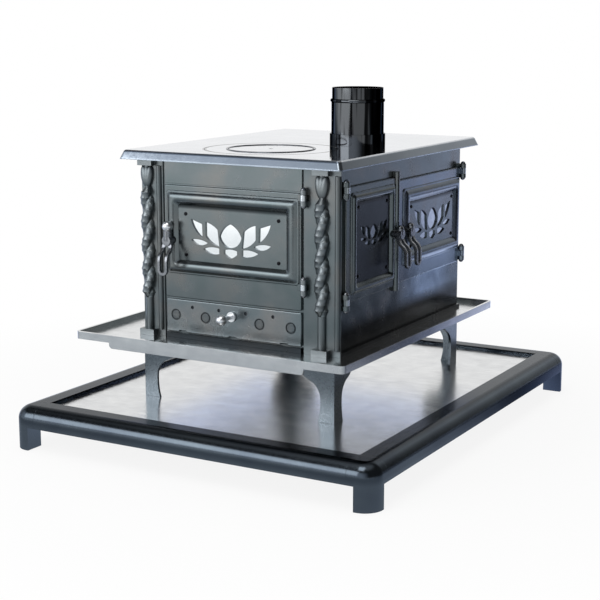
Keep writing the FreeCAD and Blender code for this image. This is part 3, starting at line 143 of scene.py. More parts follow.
# roughness of well rubbed and of worn graphite polish
RUBBED, WORN = (0.2, 0.29), (0.32, 0.44)
# sizes in millimetres of what shows on a casting
POLISH_CLOUD, RUB_MARK, SAND_GRAIN, SAND_DEPTH, FETTLED_EDGE = 90, 45, 2.2, 0.2, 1.2


def cast_graphite(name, tones=GRAPHITE, polish=RUBBED):
    """Cast iron rubbed with graphite polish: satin grey metal, cloudy polish, a fine sand-cast skin and
    edges rounded by fettling. The sand grain is drawn coarse enough to show."""
    material, tree, shader, place = surface(name, Metallic=1.0)
    cloud = add(tree, "ShaderNodeTexNoise", {"Scale": per_mm(POLISH_CLOUD), "Detail": 4.0}, {"Vector": place})
    tone = add(tree, "ShaderNodeValToRGB", {"stops": [(0.3, tones[0]), (0.5, tones[1]), (0.7, tones[2])]},
               {"Fac": cloud.outputs["Fac"]})
    tree.links.new(tone.outputs["Color"], shader.inputs["Base Color"])
    rub = add(tree, "ShaderNodeTexNoise", {"Scale": per_mm(RUB_MARK), "Detail": 5.0}, {"Vector": place})
    rough = add(tree, "ShaderNodeValToRGB", {"stops": [(0.3, polish[0]), (0.72, polish[1])]},
                {"Fac": rub.outputs["Fac"]})
    tree.links.new(rough.outputs["Color"], shader.inputs["Roughness"])
    sand = add(tree, "ShaderNodeTexNoise", {"Scale": per_mm(SAND_GRAIN), "Detail": 3.0}, {"Vector": place})
    edge = add(tree, "ShaderNodeBevel", {"samples": 4, "Radius": FETTLED_EDGE * MM})
    skin = add(tree, "ShaderNodeBump", {"Strength": 0.1, "Distance": SAND_DEPTH * MM},
               {"Height": sand.outputs["Fac"], "Normal": edge.outputs["Normal"]})
    tree.links.new(skin.outputs["Normal"], shader.inputs["Normal"])
    return material


# how far below its crest a casting's graphite is painted lighter, as a painted highlight, and to what tone
MOULDING_HIGHLIGHT_DEPTH, MOULDING_HIGHLIGHT_TONE = 3.6 * MM, "#dde3e8"
ROPE_HIGHLIGHT_DEPTH, ROPE_HIGHLIGHT_TONE = 12 * MM, "#8c9294"


def casting_with_painted_highlight(node, outward, rub, crest, tones=GRAPHITE, polish=RUBBED):
    """Graphite painted lighter, as a painted highlight, over this depth below a moulding's or rope's crest."""
    material = cast_graphite(f"{node}_graphite", tones, polish)
    tree = material.node_tree
    place = add(tree, "ShaderNodeTexCoord").outputs["Object"]
    top = max(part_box(node), key=outward.dot)
    # painted highlight: a lighter tone blended in near the crest
    bright = tones_along(tree, place, outward, [(-1, 0.0), (-0.1, 1.0)], rub, top)
    retone(material, "MIX", linear(crest), bright)
    return material


# the drawer's pressed rosettes in millimetres: radii, drop below its top edge, places across from its middle
ROSETTE_INNER, ROSETTE_OUTER, ROSETTE_DROP = 9.5, 12.5, 36
ROSETTE_PLACES = (-149, -70, 70, 149)
# how soon the painted shade begins past the inner radius and ends past the outer one
ROSETTE_SHADE_START, ROSETTE_SHADE_END = 0.5, 0.75


def drawer_with_painted_rosette_shade():
    """The drawer front's cast graphite, with painted shade in and round its four pressed rosettes."""
    material = cast_graphite("drawer_front_graphite", DRAWER_LIT_GRAPHITE)
    tree = material.node_tree
    low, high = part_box("drawer_front")
    middle, level = (low.x + high.x) / 2, high.z - ROSETTE_DROP * MM
    place = add(tree, "ShaderNodeTexCoord").outputs["Object"]
    nearest = None
    for over in ROSETTE_PLACES:
        rosette = (middle + over * MM, low.y, level)
        reach = add(tree, "ShaderNodeVectorMath", {"operation": "DISTANCE", 1: rosette}, {0: place})
        away = reach.outputs["Value"]
        if nearest is not None:
            away = add(tree, "ShaderNodeMath", {"operation": "MINIMUM"}, {0: nearest, 1: away}).outputs[0]
        nearest = away
    # painted shade: a little darker inside each rosette, darkest round its rim
    dark = [(0, "#e2e3e3"), (ROSETTE_INNER, "#cfd0d1"), (ROSETTE_INNER + ROSETTE_SHADE_START, "#898c8e"),
            (ROSETTE_OUTER, "#898c8e"), (ROSETTE_OUTER + ROSETTE_SHADE_END, WHITE)]
    retone(material, "MULTIPLY", tones_at(tree, nearest, dark, MM))
    return material


def screen_with_painted_shadow(node, tones):
    """A screen's cast graphite, with a painted shadow under the moulding along its top."""
    material = cast_graphite(f"{node}_graphite", tones)
    tree = material.node_tree
    place = add(tree, "ShaderNodeTexCoord").outputs["Object"]
    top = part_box(node)[1]
    # painted shadow: darkest just under the top moulding, gone 9 mm lower
    soot = tones_along(tree, place, DOWN, [(1, "#5e6062"), (5, "#a4a6a8"), (9, WHITE)], MM, top)
    retone(material, "MULTIPLY", soot)
    return material


def pale_blue_patch(material, node, blue, height, depth):
    """Blend a pale blue into a casting over a patch laid by stops in shares of the node's height and depth."""
    tree = material.node_tree
    low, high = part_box(node)
    place = add(tree, "ShaderNodeTexCoord").outputs["Object"]
    rise = tones_along(tree, place, UP, height, high.z - low.z, low)
    back = tones_along(tree, place, BACK, depth, high.y - low.y, low)
    heat = add(tree, "ShaderNodeMath", {"operation": "MULTIPLY"}, {0: rise, 1: back})
    retone(material, "MIX", linear(blue), heat.outputs[0])


def right_panel_blue_and_shaded():
    """Cast graphite of the right panel and of the floor plate under it: a pale blue patch below the oven door,
    and painted shade darkening its foot."""
    material = cast_graphite("right_panel_graphite")
    pale_blue_patch(material, "right_panel", "#bed2e8",
                 height=[(0.1, 0.0), (0.18, 1.0), (0.42, 1.0), (0.55, 0.0)],
                 depth=[(0.44, 0.0), (0.66, 1.0), (0.8, 0.9), (0.93, 0.25)])
    tree = material.node_tree
    low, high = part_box("right_panel")
    place = add(tree, "ShaderNodeTexCoord").outputs["Object"]
    # painted shade: darker towards the foot
    soot = tones_along(tree, place, UP, [(0.09, "#6a6c70"), (0.17, WHITE)], high.z - low.z, low)
    retone(material, "MULTIPLY", soot)
    return material


def oven_door_with_pale_blue_foot():
    """The oven door's casting with its painted highlight, and a pale blue tone along its foot."""
    material = casting_with_painted_highlight("oven_door", RIGHT, MOULDING_HIGHLIGHT_DEPTH, MOULDING_HIGHLIGHT_TONE, OVEN_LIT_GRAPHITE)
    pale_blue_patch(material, "oven_door", "#a3b3c4",
                 height=[(0.12, 1.0), (0.22, 0.0)],
                 depth=[(0.1, 0.0), (0.35, 1.0), (0.7, 1.0), (0.95, 0.4)])
    return material


# depths in millimetres of a metal's grain and of the pits in brick and board
GRAIN_DEPTH, PIT_DEPTH = 0.1, 0.5


def metal(name, tones, polish, cloud, grain, drawn=(1, 1, 1), relief=0.02, edge=0.6):
    """Bare metal: cloudy tone, and an uneven polish whose grain may be drawn out along one axis. The sizes of
    cloud, grain and rounded edge are in millimetres."""
    material, tree, shader, place = surface(name, Metallic=1.0)
    clouds = add(tree, "ShaderNodeTexNoise", {"Scale": per_mm(cloud), "Detail": 4.0}, {"Vector": place})
    tone = add(tree, "ShaderNodeValToRGB", {"stops": [(0.3, tones[0]), (0.7, tones[1])]},
               {"Fac": clouds.outputs["Fac"]})
    tree.links.new(tone.outputs["Color"], shader.inputs["Base Color"])
    along = add(tree, "ShaderNodeMapping", {"Scale": drawn}, {"Vector": place})
    grains = add(tree, "ShaderNodeTexNoise", {"Scale": per_mm(grain), "Detail": 5.0},
                 {"Vector": along.outputs["Vector"]})
    rough = add(tree, "ShaderNodeValToRGB", {"stops": [(0.3, polish[0]), (0.7, polish[1])]},
                {"Fac": grains.outputs["Fac"]})
    tree.links.new(rough.outputs["Color"], shader.inputs["Roughness"])
    rounded = add(tree, "ShaderNodeBevel", {"samples": 4, "Radius": edge * MM})
    skin = add(tree, "ShaderNodeBump", {"Strength": relief, "Distance": GRAIN_DEPTH * MM},
               {"Height": grains.outputs["Fac"], "Normal": rounded.outputs["Normal"]})
    tree.links.new(skin.outputs["Normal"], shader.inputs["Normal"])
    return material


# in millimetres: the gap round lid and ring, and the half width of the soot line over each, with its tone
SEAT_GAP = 1.2
SOOT_LINES = (("ring_lid", 3.0, "#565a60"), ("cooking_ring", 6.0, "#4a4e55"))


def polished_hob(name, edge):
    """Polished hob steel: near mirror, wiped from front to back, with a dark line of soot and oxide where the
    ring and its lid meet the plate, a duller edge, and a dark line along the front arris."""
    material = metal(name, ("#bfc3c9", "#ced1d6"), (0.06, 0.12), cloud=120, grain=9, drawn=(1, 0.15, 1),
                     edge=edge)
    tree = material.node_tree
    place = add(tree, "ShaderNodeTexCoord").outputs["Object"]
    low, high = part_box("cooking_ring")
    centre = ((low.x + high.x) / 2, (low.y + high.y) / 2, high.z)
    reach = add(tree, "ShaderNodeVectorMath", {"operation": "DISTANCE", 1: centre}, {0: place})
    stops = [(0, WHITE)]
    for node, half, soot in SOOT_LINES:
        low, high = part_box(node)
        seat = (high.x - low.x) / 2 / MM + SEAT_GAP / 2
        stops += [(seat - half, WHITE), (seat - half / 2, soot)]
        stops += [(seat + half / 2, soot), (seat + half, WHITE)]
    retone(material, "MULTIPLY", tones_at(tree, reach.outputs["Value"], stops, MM))
    low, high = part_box("cooktop_plate")
    dull = tones_along(tree, place, DOWN, [(2.2, WHITE), (3.0, "#d2dae0")], MM, high)
    retone(material, "MULTIPLY", dull)
    bevel = tones_along(tree, place, DOWN, [(0, 0.0), (0.6, 1.0), (4.4, 1.0), (5.8, 0.0)], MM, high)
    front = tones_along(tree, place, BACK, [(9.2, 1.0), (10.0, 0.0)], MM, low)
    arris = add(tree, "ShaderNodeMath", {"operation": "MULTIPLY"}, {0: bevel, 1: front})
    retone(material, "MULTIPLY", linear("#a2a8b0"), arris.outputs[0])
    return material


def blued_tray():
    """Blued folded steel of the hearth tray: dark satin blue-grey, a little darker on the bullnose band as
    painted shade, and nearly black on the flat top as a painted dark reflection."""
    material = metal("blued_tray_steel", ("#5e666f", "#70797f"), (0.14, 0.24), cloud=120, grain=5,
                     relief=0.05, edge=1.5)
    tree = material.node_tree
    tree.nodes["Principled BSDF"].inputs["Specular Tint"].default_value = linear("#e4e6e8")
    place = add(tree, "ShaderNodeTexCoord").outputs["Object"]
    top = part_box("tray_front_rail")[1].z
    # painted shade on the bullnose band, and a painted dark reflection on the flat top
    soot = [(0.55, WHITE), (0.66, "#d4d6d9"), (0.94, "#d4d6d9"), (0.99, "#34383d")]
    retone(material, "MULTIPLY", tones_along(tree, place, UP, soot, top))
    return material


# sizes in millimetres of what shows on the flue, and how far it is drawn out along the pipe
FLUE_STREAK, FLUE_CLOUD, FLUE_RIPPLE, FLUE_RIPPLE_DEPTH, FLUE_DRAWN = 13, 60, 22, 2.0, (1.0, 1.0, 0.03)


def blued_flue():
    """Black-blued rolled steel pipe: a dark mirror whose tone runs in streaks along its length, with a faint
    ripple and no bright rim."""
    material, tree, shader, place = surface("black_blued_flue_steel", Metallic=1.0,
                                            Specular_Tint=linear("#3c3c3e"))
    drawn = add(tree, "ShaderNodeMapping", {"Scale": FLUE_DRAWN}, {"Vector": place}).outputs["Vector"]
    streak = add(tree, "ShaderNodeTexNoise", {"Scale": per_mm(FLUE_STREAK), "Detail": 2.0}, {"Vector": drawn})
    tones = [(0.4, "#0d0e0f"), (0.5, "#1f2022"), (0.58, "#585b5e")]
    tone = add(tree, "ShaderNodeValToRGB", {"stops": tones}, {"Fac": streak.outputs["Fac"]})
    tree.links.new(tone.outputs["Color"], shader.inputs["Base Color"])
    cloud = add(tree, "ShaderNodeTexNoise", {"Scale": per_mm(FLUE_CLOUD), "Detail": 3.0}, {"Vector": place})
    rough = add(tree, "ShaderNodeValToRGB", {"stops": [(0.3, 0.05), (0.7, 0.1)]},
                {"Fac": cloud.outputs["Fac"]})
    tree.links.new(rough.outputs["Color"], shader.inputs["Roughness"])
    ripple = add(tree, "ShaderNodeTexNoise", {"Scale": per_mm(FLUE_RIPPLE), "Detail": 1.0}, {"Vector": drawn})
    skin = add(tree, "ShaderNodeBump", {"Strength": 0.5, "Distance": FLUE_RIPPLE_DEPTH * MM},
               {"Height": ripple.outputs["Fac"]})
    tree.links.new(skin.outputs["Normal"], shader.inputs["Normal"])
    return material


def gritty(name, tones, grit, roughness, relief):
    """Matt mineral surface: two tones in grains of this many millimetres, with pits between them."""
    material, tree, shader, place = surface(name, IOR=1.5, Roughness=roughness)
    grains = add(tree, "ShaderNodeTexNoise", {"Scale": per_mm(grit), "Detail": 8.0}, {"Vector": place})
    tone = add(tree, "ShaderNodeValToRGB", {"stops": [(0.35, tones[0]), (0.65, tones[1])]},
               {"Fac": grains.outputs["Fac"]})
    tree.links.new(tone.outputs["Color"], shader.inputs["Base Color"])
    skin = add(tree, "ShaderNodeBump", {"Strength": relief, "Distance": PIT_DEPTH * MM},
               {"Height": grains.outputs["Fac"]})
    tree.links.new(skin.outputs["Normal"], shader.inputs["Normal"])
    return material


FINISH = {
    "graphite_enamel": cast_graphite("cast_graphite"),
    "tray_paint": blued_tray(),
    "polished_plate": polished_hob("polished_ring_steel", edge=0.6),
    # the hob plate's arris is filed round, so it catches a wide highlight
    "rounded_plate": polished_hob("polished_hob_steel", edge=4.0),
    # sheet brushed from side to side: a soft, streaked mirror
    "brushed_sheet": metal("brushed_hearth_steel", ("#cdcecf", "#dcdddd"), (0.14, 0.26), cloud=45, grain=6,
                           drawn=(0.12, 1, 1), relief=0.04),
    # buffed sheet behind the fire door's screen: the lotus shines almost white
    "bright_trim": metal("polished_trim_steel", ("#dde1e4", "#e8ebed"), (0.06, 0.12), cloud=60, grain=8),
    # screws and bolts blackened in oil: small dull black heads
    "dark_steel": metal("blackened_fastener_steel", ("#1c1c1f", "#2a2a2d"), (0.3, 0.45), cloud=12, grain=2,
                        relief=0.08, edge=0.3),
    # mill sheet inside the stove: dull grey, with rolling marks from side to side
    "plain_sheet": metal("plain_sheet_steel", ("#6d6f73", "#808287"), (0.32, 0.48), cloud=60, grain=5,
                         drawn=(0.2, 1, 1), relief=0.06),
    # levers, latches, pins and the lip round the lid, darkened by hands and heat: grey with soft highlights
    "lever_steel": metal("darkened_lever_steel", ("#7d8085", "#94969a"), (0.2, 0.3), cloud=25, grain=3,
                         drawn=(1, 1, 0.4), relief=0.06, edge=1.5),
    # castings in the fire, never polished: rough and nearly black
    "bare_casting": metal("bare_cast_iron", ("#2d2c2c", "#3d3b39"), (0.5, 0.65), cloud=30, grain=2.5,
                          relief=0.2),
    # turned knob and ball: pale, with a broad soft highlight
    "turned_knob": metal("satin_turned_aluminium", ("#eceef0", "#f8f9f9"), (0.26, 0.38), cloud=20, grain=1.5,
                         relief=0.03),
    # legs in a paler and rougher grey than the casing
    "leg_casting": metal("rubbed_leg_casting", ("#6b747a", "#7d858b"), (0.24, 0.36), cloud=50, grain=3,
                         relief=0.08, edge=1.2),
    # sheet behind the other two screens: the same buffed sheet painted greyer as painted shade, a greyer lotus
    "shaded_backing": metal("shaded_backing_steel", ("#a3a9b0", "#b6bbc1"), (0.1, 0.18), cloud=40, grain=6),
    "fire_casting": casting_with_painted_highlight("fire_door", FRONT, MOULDING_HIGHLIGHT_DEPTH, MOULDING_HIGHLIGHT_TONE),
    "side_casting": casting_with_painted_highlight("side_door", RIGHT, MOULDING_HIGHLIGHT_DEPTH, MOULDING_HIGHLIGHT_TONE),
    "oven_casting": oven_door_with_pale_blue_foot(),
    "left_casting": casting_with_painted_highlight("pilaster_left", FRONT, ROPE_HIGHLIGHT_DEPTH, ROPE_HIGHLIGHT_TONE, polish=WORN),
    "right_casting": casting_with_painted_highlight("pilaster_right", FRONT, ROPE_HIGHLIGHT_DEPTH, ROPE_HIGHLIGHT_TONE, polish=WORN),
    "drawer_casting": drawer_with_painted_rosette_shade(),
    "panel_casting": right_panel_blue_and_shaded(),
    "fire_screen": screen_with_painted_shadow("fire_door_screen", GRAPHITE),
    "side_screen": screen_with_painted_shadow("side_door_screen", SIDE_SCREEN_SHADED_GRAPHITE),
    "oven_screen": screen_with_painted_shadow("oven_door_screen", OVEN_SCREEN_LIT_GRAPHITE),
    "flue_black": blued_flue(),
    # lining bricks: sandy yellow and crumbly
    "firebrick": gritty("fired_clay_brick", ("#a98a63", "#c7ab84"), grit=4, roughness=0.9, relief=0.4),
    # board under the sheet: flat grey with a fine grit
    "insulating_board": gritty("pressed_hearth_board", ("#9a958b", "#b3aea4"), grit=2.5, roughness=0.85,
                               relief=0.2),
}
# nodes whose finish differs from the rest of their slot
OWN_FINISH = {
    "cooktop_plate": "rounded_plate", "hinge_pins": "lever_steel",
    "fire_door_handle_ball": "turned_knob", "drawer_knob": "turned_knob",
    "fire_door": "fire_casting", "side_door": "side_casting", "oven_door": "oven_casting",
    "fire_door_screen": "fire_screen", "side_door_screen": "side_screen", "oven_door_screen": "oven_screen",
    "drawer_front": "drawer_casting", "right_panel": "panel_casting", "bottom_plate": "panel_casting",
    "pilaster_left": "left_casting", "pilaster_right": "right_casting",
    "side_door_backing": "shaded_backing", "oven_door_backing": "shaded_backing",
    "leg_front_left": "leg_casting", "leg_front_right": "leg_casting",
    "leg_rear_left": "leg_casting", "leg_rear_right": "leg_casting",
}
for piece in frame["record"]["subparts"]:
    mesh = nodes[piece["node"]].data
    mesh.materials.clear()
    mesh.materials.append(FINISH[OWN_FINISH.get(piece["node"], piece["material_slot"])])


def pick(piece):
    """Select this piece alone and make it the active one."""
    bpy.ops.object.select_all(action="DESELECT")
    bpy.context.view_layer.objects.active = piece
    piece.select_set(True)


def edit(piece, kind):
    """Enter edit mode on one piece, in vertex, edge or face mode, with nothing selected."""
    pick(piece)
    bpy.ops.object.mode_set(mode="EDIT")
    bpy.ops.mesh.select_mode(type=kind)
    bpy.ops.mesh.select_all(action="DESELECT")


def choose(piece, test):
    """Select the edges or faces of the piece in edit mode that pass the test, and nothing else."""
    bpy.ops.mesh.select_all(action="DESELECT")
    mesh = bmesh.from_edit_mesh(piece.data)
    for item in mesh.faces if bpy.context.tool_settings.mesh_select_mode[2] else mesh.edges:
        item.select_set(test(item))
    bmesh.update_edit_mesh(piece.data)


SMOOTH_ANGLE = math.radians(32)


def finish_piece(piece, name, body, finish):
    """Put the place into the mesh, smooth the round faces, and name the piece, its body and its finish."""
    pick(piece)
    bpy.ops.object.transform_apply(location=True, rotation=True, scale=True)
    bpy.ops.object.shade_smooth_by_angle(angle=SMOOTH_ANGLE)
    piece.name = piece.data.name = name
    piece.data.materials.clear()
    piece.data.materials.append(finish)
    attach(piece, body)


HEAD_RADIUS, HEAD_THICK, HEAD_SIDES = 4.2 * MM, 2.0 * MM, 40
DOME, DOME_STEPS = 1.6 * MM, 6
SHANK_RADIUS, SHANK_LENGTH = 2.5 * MM, 4.5 * MM
SLOT_WIDTH, SLOT_DEPTH = 1.2 * MM, 0.9 * MM


def slotted_screw():
    """One screw along +Z, seated at the origin: domed head with a driver slot, and a plain shank."""
    bpy.ops.mesh.primitive_cylinder_add(vertices=HEAD_SIDES, radius=HEAD_RADIUS, depth=HEAD_THICK,
                                        location=(0, 0, HEAD_THICK / 2))
    screw = bpy.context.object
    bpy.ops.object.transform_apply(location=True)
    edit(screw, "FACE")
    choose(screw, lambda face: face.normal.z < -0.9)
    bpy.ops.mesh.inset(thickness=HEAD_RADIUS - SHANK_RADIUS)
    bpy.ops.mesh.extrude_region_move(TRANSFORM_OT_translate={"value": (0, 0, -SHANK_LENGTH)})
    bpy.ops.mesh.select_mode(type="EDGE")
    choose(screw, lambda edge: all(v.co.z > HEAD_THICK * 0.9 for v in edge.verts))
    bpy.ops.mesh.bevel(offset=DOME, segments=DOME_STEPS, profile=0.5, affect="EDGES")
    bpy.ops.object.mode_set(mode="OBJECT")
    bpy.ops.mesh.primitive_cube_add(size=1.0, location=(0, 0, HEAD_THICK))
    blade = bpy.context.object
    blade.scale = (SLOT_WIDTH, HEAD_RADIUS * 3, SLOT_DEPTH * 2)
    pick(screw)
    bpy.ops.object.modifier_add(type="BOOLEAN")
    slot = screw.modifiers[-1]
    slot.operation, slot.solver, slot.object = "DIFFERENCE", "EXACT", blade
    bpy.ops.object.modifier_apply(modifier=slot.name)
    bpy.data.objects.remove(blade)
    return screw


def screen_screws(pattern, door, outward, turns):
    """Four copies of the screw in place of a door's plain ones, each stopped at its own turn in degrees."""
    node = f"{door}_screws"
    low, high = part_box(node)
    along = Vector((abs(outward.y), abs(outward.x), 0.0))
    facing = outward.to_track_quat("Z", "Y")
    reach = max(high.dot(outward), low.dot(outward))
    middle, half = (low + high) / 2, (high - low) / 2
    screws = []
    for number, turn in enumerate(turns):
        over = along * ((half.dot(along) - HEAD_RADIUS) * (1 if number % 2 else -1))
        rise = UP * ((half.z - HEAD_RADIUS) * (1 if number > 1 else -1))
        seat = middle + over + rise
        seat += outward * (reach - HEAD_THICK - seat.dot(outward))
        screw = pattern.copy()
        screw.data = pattern.data.copy()
        bpy.context.collection.objects.link(screw)
        screw.rotation_mode = "QUATERNION"
        screw.rotation_quaternion = facing @ Quaternion(UP, math.radians(turn))
        screw.location = seat
        screws.append(screw)
    bpy.ops.object.select_all(action="DESELECT")
    for screw in screws:
        screw.select_set(True)
    bpy.context.view_layer.objects.active = screws[0]
    bpy.ops.object.transform_apply(location=True, rotation=True, scale=True)
    bpy.ops.object.join()
    piece = bpy.context.object
    finish_piece(piece, f"{door}_slotted_screws", door, FINISH["dark_steel"])
    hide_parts(node)


LIP_HALF_WIDTH, LIP_HEIGHT, LIP_CLEARANCE = 2.6 * MM, 1.8 * MM, 1.4 * MM
LIP_SIDES, LIP_ROUND_SIDES = 128, 20


def ring_lip():
    """Low half-round lip on the cooking ring, all round its lid, dark with soot."""
    low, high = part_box("cooking_ring")
    lid_low, lid_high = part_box("ring_lid")
    radius = (lid_high.x - lid_low.x) / 2 + LIP_CLEARANCE + LIP_HALF_WIDTH
    centre = ((low.x + high.x) / 2, (low.y + high.y) / 2, high.z)
    bpy.ops.mesh.primitive_torus_add(major_radius=radius, minor_radius=LIP_HALF_WIDTH, location=centre,
                                     major_segments=LIP_SIDES, minor_segments=LIP_ROUND_SIDES)
    lip = bpy.context.object
    bpy.ops.object.transform_apply(location=True)
    edit(lip, "FACE")
    bpy.ops.mesh.select_all(action="SELECT")
    bpy.ops.transform.resize(value=(1, 1, LIP_HEIGHT / LIP_HALF_WIDTH), center_override=centre)
    bpy.ops.mesh.bisect(plane_co=centre, plane_no=UP, use_fill=False, clear_inner=True)
    bpy.ops.mesh.select_mode(type="EDGE")
    choose(lip, lambda edge: edge.is_boundary)
    bpy.ops.mesh.bridge_edge_loops()
    bpy.ops.mesh.select_all(action="SELECT")
    bpy.ops.mesh.normals_make_consistent(inside=False)
    bpy.ops.object.mode_set(mode="OBJECT")
    finish_piece(lip, "cooking_ring_lip", "cooking_ring", FINISH["lever_steel"])


screw = slotted_screw()
screen_screws(screw, "fire_door", FRONT, (20, 75, 110, 160))
screen_screws(screw, "side_door", RIGHT, (65, 10, 150, 95))
screen_screws(screw, "oven_door", RIGHT, (40, 120, 5, 80))
bpy.data.objects.remove(screw)
ring_lip()

# the eye's turn to the right of the front, its rise, and its place in metres
EYE_TURN, EYE_RISE, EYE_PLACE = math.radians(29.55), math.radians(11.19), (1.592, -2.856, 0.931)
# lens and frame width in millimetres, and how far the eye sees in metres
LENS, FRAME_WIDTH, SIGHT = 84.25, 36.0, 50.0


def camera():
    """The photograph's viewpoint: right of the front and a little above."""
    view = Vector((-math.sin(EYE_TURN) * math.cos(EYE_RISE), math.cos(EYE_TURN) * math.cos(EYE_RISE),
                   -math.sin(EYE_RISE)))
    data = bpy.data.cameras.new("camera")
    data.lens = LENS
    data.sensor_width = FRAME_WIDTH
    data.clip_end = SIGHT
    eye = bpy.data.objects.new("camera", data)
    eye.location = EYE_PLACE
    eye.rotation_euler = view.to_track_quat("-Z", "Y").to_euler()
    bpy.context.collection.objects.link(eye)
    bpy.context.scene.camera = eye


def lamp(name, place, aim, size, level):
    """A soft box that gives this radiance, so that its mirror image in polished metal has that brightness."""
    data = bpy.data.lights.new(name, "AREA")
    data.shape = "RECTANGLE"
    data.size, data.size_y = size
    data.energy = math.pi * size[0] * size[1] * level
    light = bpy.data.objects.new(name, data)
    light.location = place
    light.rotation_euler = (Vector(aim) - Vector(place)).to_track_quat("-Z", "Y").to_euler()
    light.visible_camera = False
    bpy.context.collection.objects.link(light)
    return light


# directions level with the floor: straight behind the stove as the eye sees it, and to the front left
PAPER_WAY, ROOM_WAY = Vector((-0.493, 0.87, 0.0)), Vector((-0.493, -0.87, 0.0))
# across the floor that the right-hand doors mirror: from under the stove to the right and a little ahead
DOORS_WAY = Vector((0.445, -0.21, 0.0)).normalized()
# strength of the room's light on matt pieces, and of the floor's image in metal; the floor's side in metres
SOFT_LIGHT, FLOOR_MIRROR, FLOOR_SIZE = 0.35, 1.6, 40.0


def studio_room():
    """White paper behind the stove and to its left, a blue-grey room in front, dark on the right and above
    the lamps, and a grey ceiling. The stops are cosines of the angle to each direction."""
    world = bpy.data.worlds.new("studio")
    bpy.context.scene.world = world
    world.use_nodes = True
    tree = world.node_tree
    tree.nodes.clear()
    rays = add(tree, "ShaderNodeLightPath").outputs
    seen = add(tree, "ShaderNodeMath", {"operation": "MAXIMUM"},
               {0: rays["Is Camera Ray"], 1: rays["Is Transmission Ray"]})
    toward = add(tree, "ShaderNodeTexCoord").outputs["Generated"]
    paper = tones_along(tree, toward, PAPER_WAY, [(0.5, "#000000"), (0.78, WHITE)])
    room = tones_along(tree, toward, ROOM_WAY, [(0.2, "#30343c"), (0.76, "#eaf0fa")])
    height = tones_along(tree, toward, UP, [(0.49, 1.0), (0.66, 0.1)])
    ceiling = tones_along(tree, toward, UP, [(0.76, 0.06), (0.92, 0.45)])
    for kind, tone in (("MULTIPLY", height), ("LIGHTEN", ceiling), ("LIGHTEN", paper)):
        blend = add(tree, "ShaderNodeMix", {"data_type": "RGBA", "blend_type": kind, BLEND_SHARE: 1.0},
                    {BLEND_FIRST: room, BLEND_SECOND: tone})
        room = blend.outputs[BLEND_RESULT]
    soft = add(tree, "ShaderNodeBackground", {"Color": linear(WHITE), "Strength": SOFT_LIGHT})
    mirror = add(tree, "ShaderNodeBackground", {"Strength": 1.0}, {"Color": room})
    white = add(tree, "ShaderNodeBackground", {"Color": linear(WHITE), "Strength": 1.0})
    lit = add(tree, "ShaderNodeMixShader",
              links={0: rays["Is Glossy Ray"], 1: soft.outputs[0], 2: mirror.outputs[0]})
    mix = add(tree, "ShaderNodeMixShader",
              links={0: seen.outputs[0], 1: lit.outputs[0], 2: white.outputs[0]})
    add(tree, "ShaderNodeOutputWorld", links={"Surface": mix.outputs[0]})


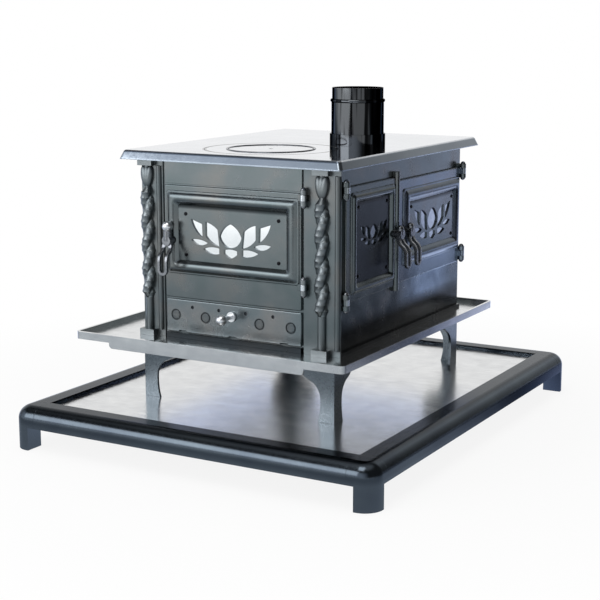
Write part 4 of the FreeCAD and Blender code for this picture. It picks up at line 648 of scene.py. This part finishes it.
def studio_floor():
    """White paper floor: it keeps the stove's shadow and fades to pure white. What the metal mirrors of it
    runs from grey to white in front, with a dark gap far off, and through deep blue beside the right-hand
    doors. The stops are metres from the middle of the stove."""
    bpy.ops.mesh.primitive_plane_add(size=FLOOR_SIZE)
    floor = bpy.context.object
    floor.name = "floor"
    material = bpy.data.materials.new("white_floor")
    material.use_nodes = True
    tree = material.node_tree
    tree.nodes.clear()
    rays = add(tree, "ShaderNodeLightPath").outputs
    place = add(tree, "ShaderNodeTexCoord").outputs["Object"]
    paint = add(tree, "ShaderNodeBsdfDiffuse", {"Color": linear("#f4f4f4")})
    glow = add(tree, "ShaderNodeEmission", {"Color": linear(WHITE), "Strength": 1.0})
    reach = add(tree, "ShaderNodeVectorMath", {"operation": "LENGTH"}, {0: place})
    fade = tones_at(tree, reach.outputs["Value"], [(0.6, 0.88), (1.4, 1.0)])
    along = tones_along(tree, place, DOORS_WAY, [
        (0.061, "#cbd4ee"), (0.142, "#8892b1"), (0.244, "#4c556d"), (0.305, "#383f4d"), (0.366, "#5a6070"),
        (0.63, "#b4bac8"), (0.813, "#6c7280"), (1.626, "#5c626e"), (1.951, "#141519")])
    out = tones_along(tree, place, RIGHT, [(0.68, 1.0), (0.84, 0.05), (1.06, 0.06), (1.24, 1.0)])
    beside = add(tree, "ShaderNodeMix", {"data_type": "RGBA", "blend_type": "MULTIPLY", BLEND_SHARE: 1.0},
                 {BLEND_FIRST: along, BLEND_SECOND: out})
    ahead = tones_along(tree, place, FRONT, [
        (0.8, "#898f96"), (1.6, "#aab0b4"), (2.24, "#cfd2d3"), (2.96, "#cfd2d3"), (3.6, WHITE)])
    across = tones_along(tree, place, RIGHT, [
        (-1.76, 0.0), (-1.44, 1.0), (0.8, 1.0), (1.04, 0.55), (2.4, 0.6)])
    far = tones_along(tree, place, FRONT, [(3.2, 0.0), (3.52, 1.0)])
    gap = add(tree, "ShaderNodeMath", {"operation": "MULTIPLY"}, {0: across, 1: far})
    front = add(tree, "ShaderNodeMix", {"data_type": "RGBA", BLEND_SECOND: linear("#202022")},
                {BLEND_SHARE: gap.outputs[0], BLEND_FIRST: ahead})
    side = tones_along(tree, place, BACK, [(-0.6, 0.0), (0.2, 1.0)])
    tone = add(tree, "ShaderNodeMix", {"data_type": "RGBA"},
               {BLEND_SHARE: side, BLEND_FIRST: front.outputs[BLEND_RESULT],
                BLEND_SECOND: beside.outputs[BLEND_RESULT]})
    mirror = add(tree, "ShaderNodeEmission", {"Strength": FLOOR_MIRROR},
                 {"Color": tone.outputs[BLEND_RESULT]})
    lit = add(tree, "ShaderNodeMixShader",
              links={0: rays["Is Glossy Ray"], 1: paint.outputs[0], 2: mirror.outputs[0]})
    part = add(tree, "ShaderNodeMath", {"operation": "MULTIPLY"}, {0: rays["Is Camera Ray"], 1: fade})
    mix = add(tree, "ShaderNodeMixShader",
              links={0: part.outputs[0], 1: lit.outputs[0], 2: glow.outputs[0]})
    add(tree, "ShaderNodeOutputMaterial", links={"Surface": mix.outputs[0]})
    floor.data.materials.append(material)


def studio_lamps():
    """A soft box at the front left whose image runs along the crests of the mouldings, one high in front that
    sits on balls, ropes and levers, and a wide one overhead that lights the floor and the matt pieces."""
    lamp("front_left", place=(-1.6, -3.0, 1.4), aim=(0, 0, 0.5), size=(2.4, 1.6), level=2.4)
    lamp("high_front", place=(0.1, -1.9, 3.2), aim=(0, -0.2, 0.5), size=(1.8, 1.8), level=2.6)
    overhead = lamp("overhead", place=(-0.2, -0.1, 3.0), aim=(-0.1, -0.1, 0.0), size=(2.6, 2.6), level=1.4)
    overhead.visible_glossy = False


bpy.ops.object.select_all(action="DESELECT")
camera()
studio_room()
studio_floor()
studio_lamps()
bpy.context.scene.view_settings.view_transform = "Standard"
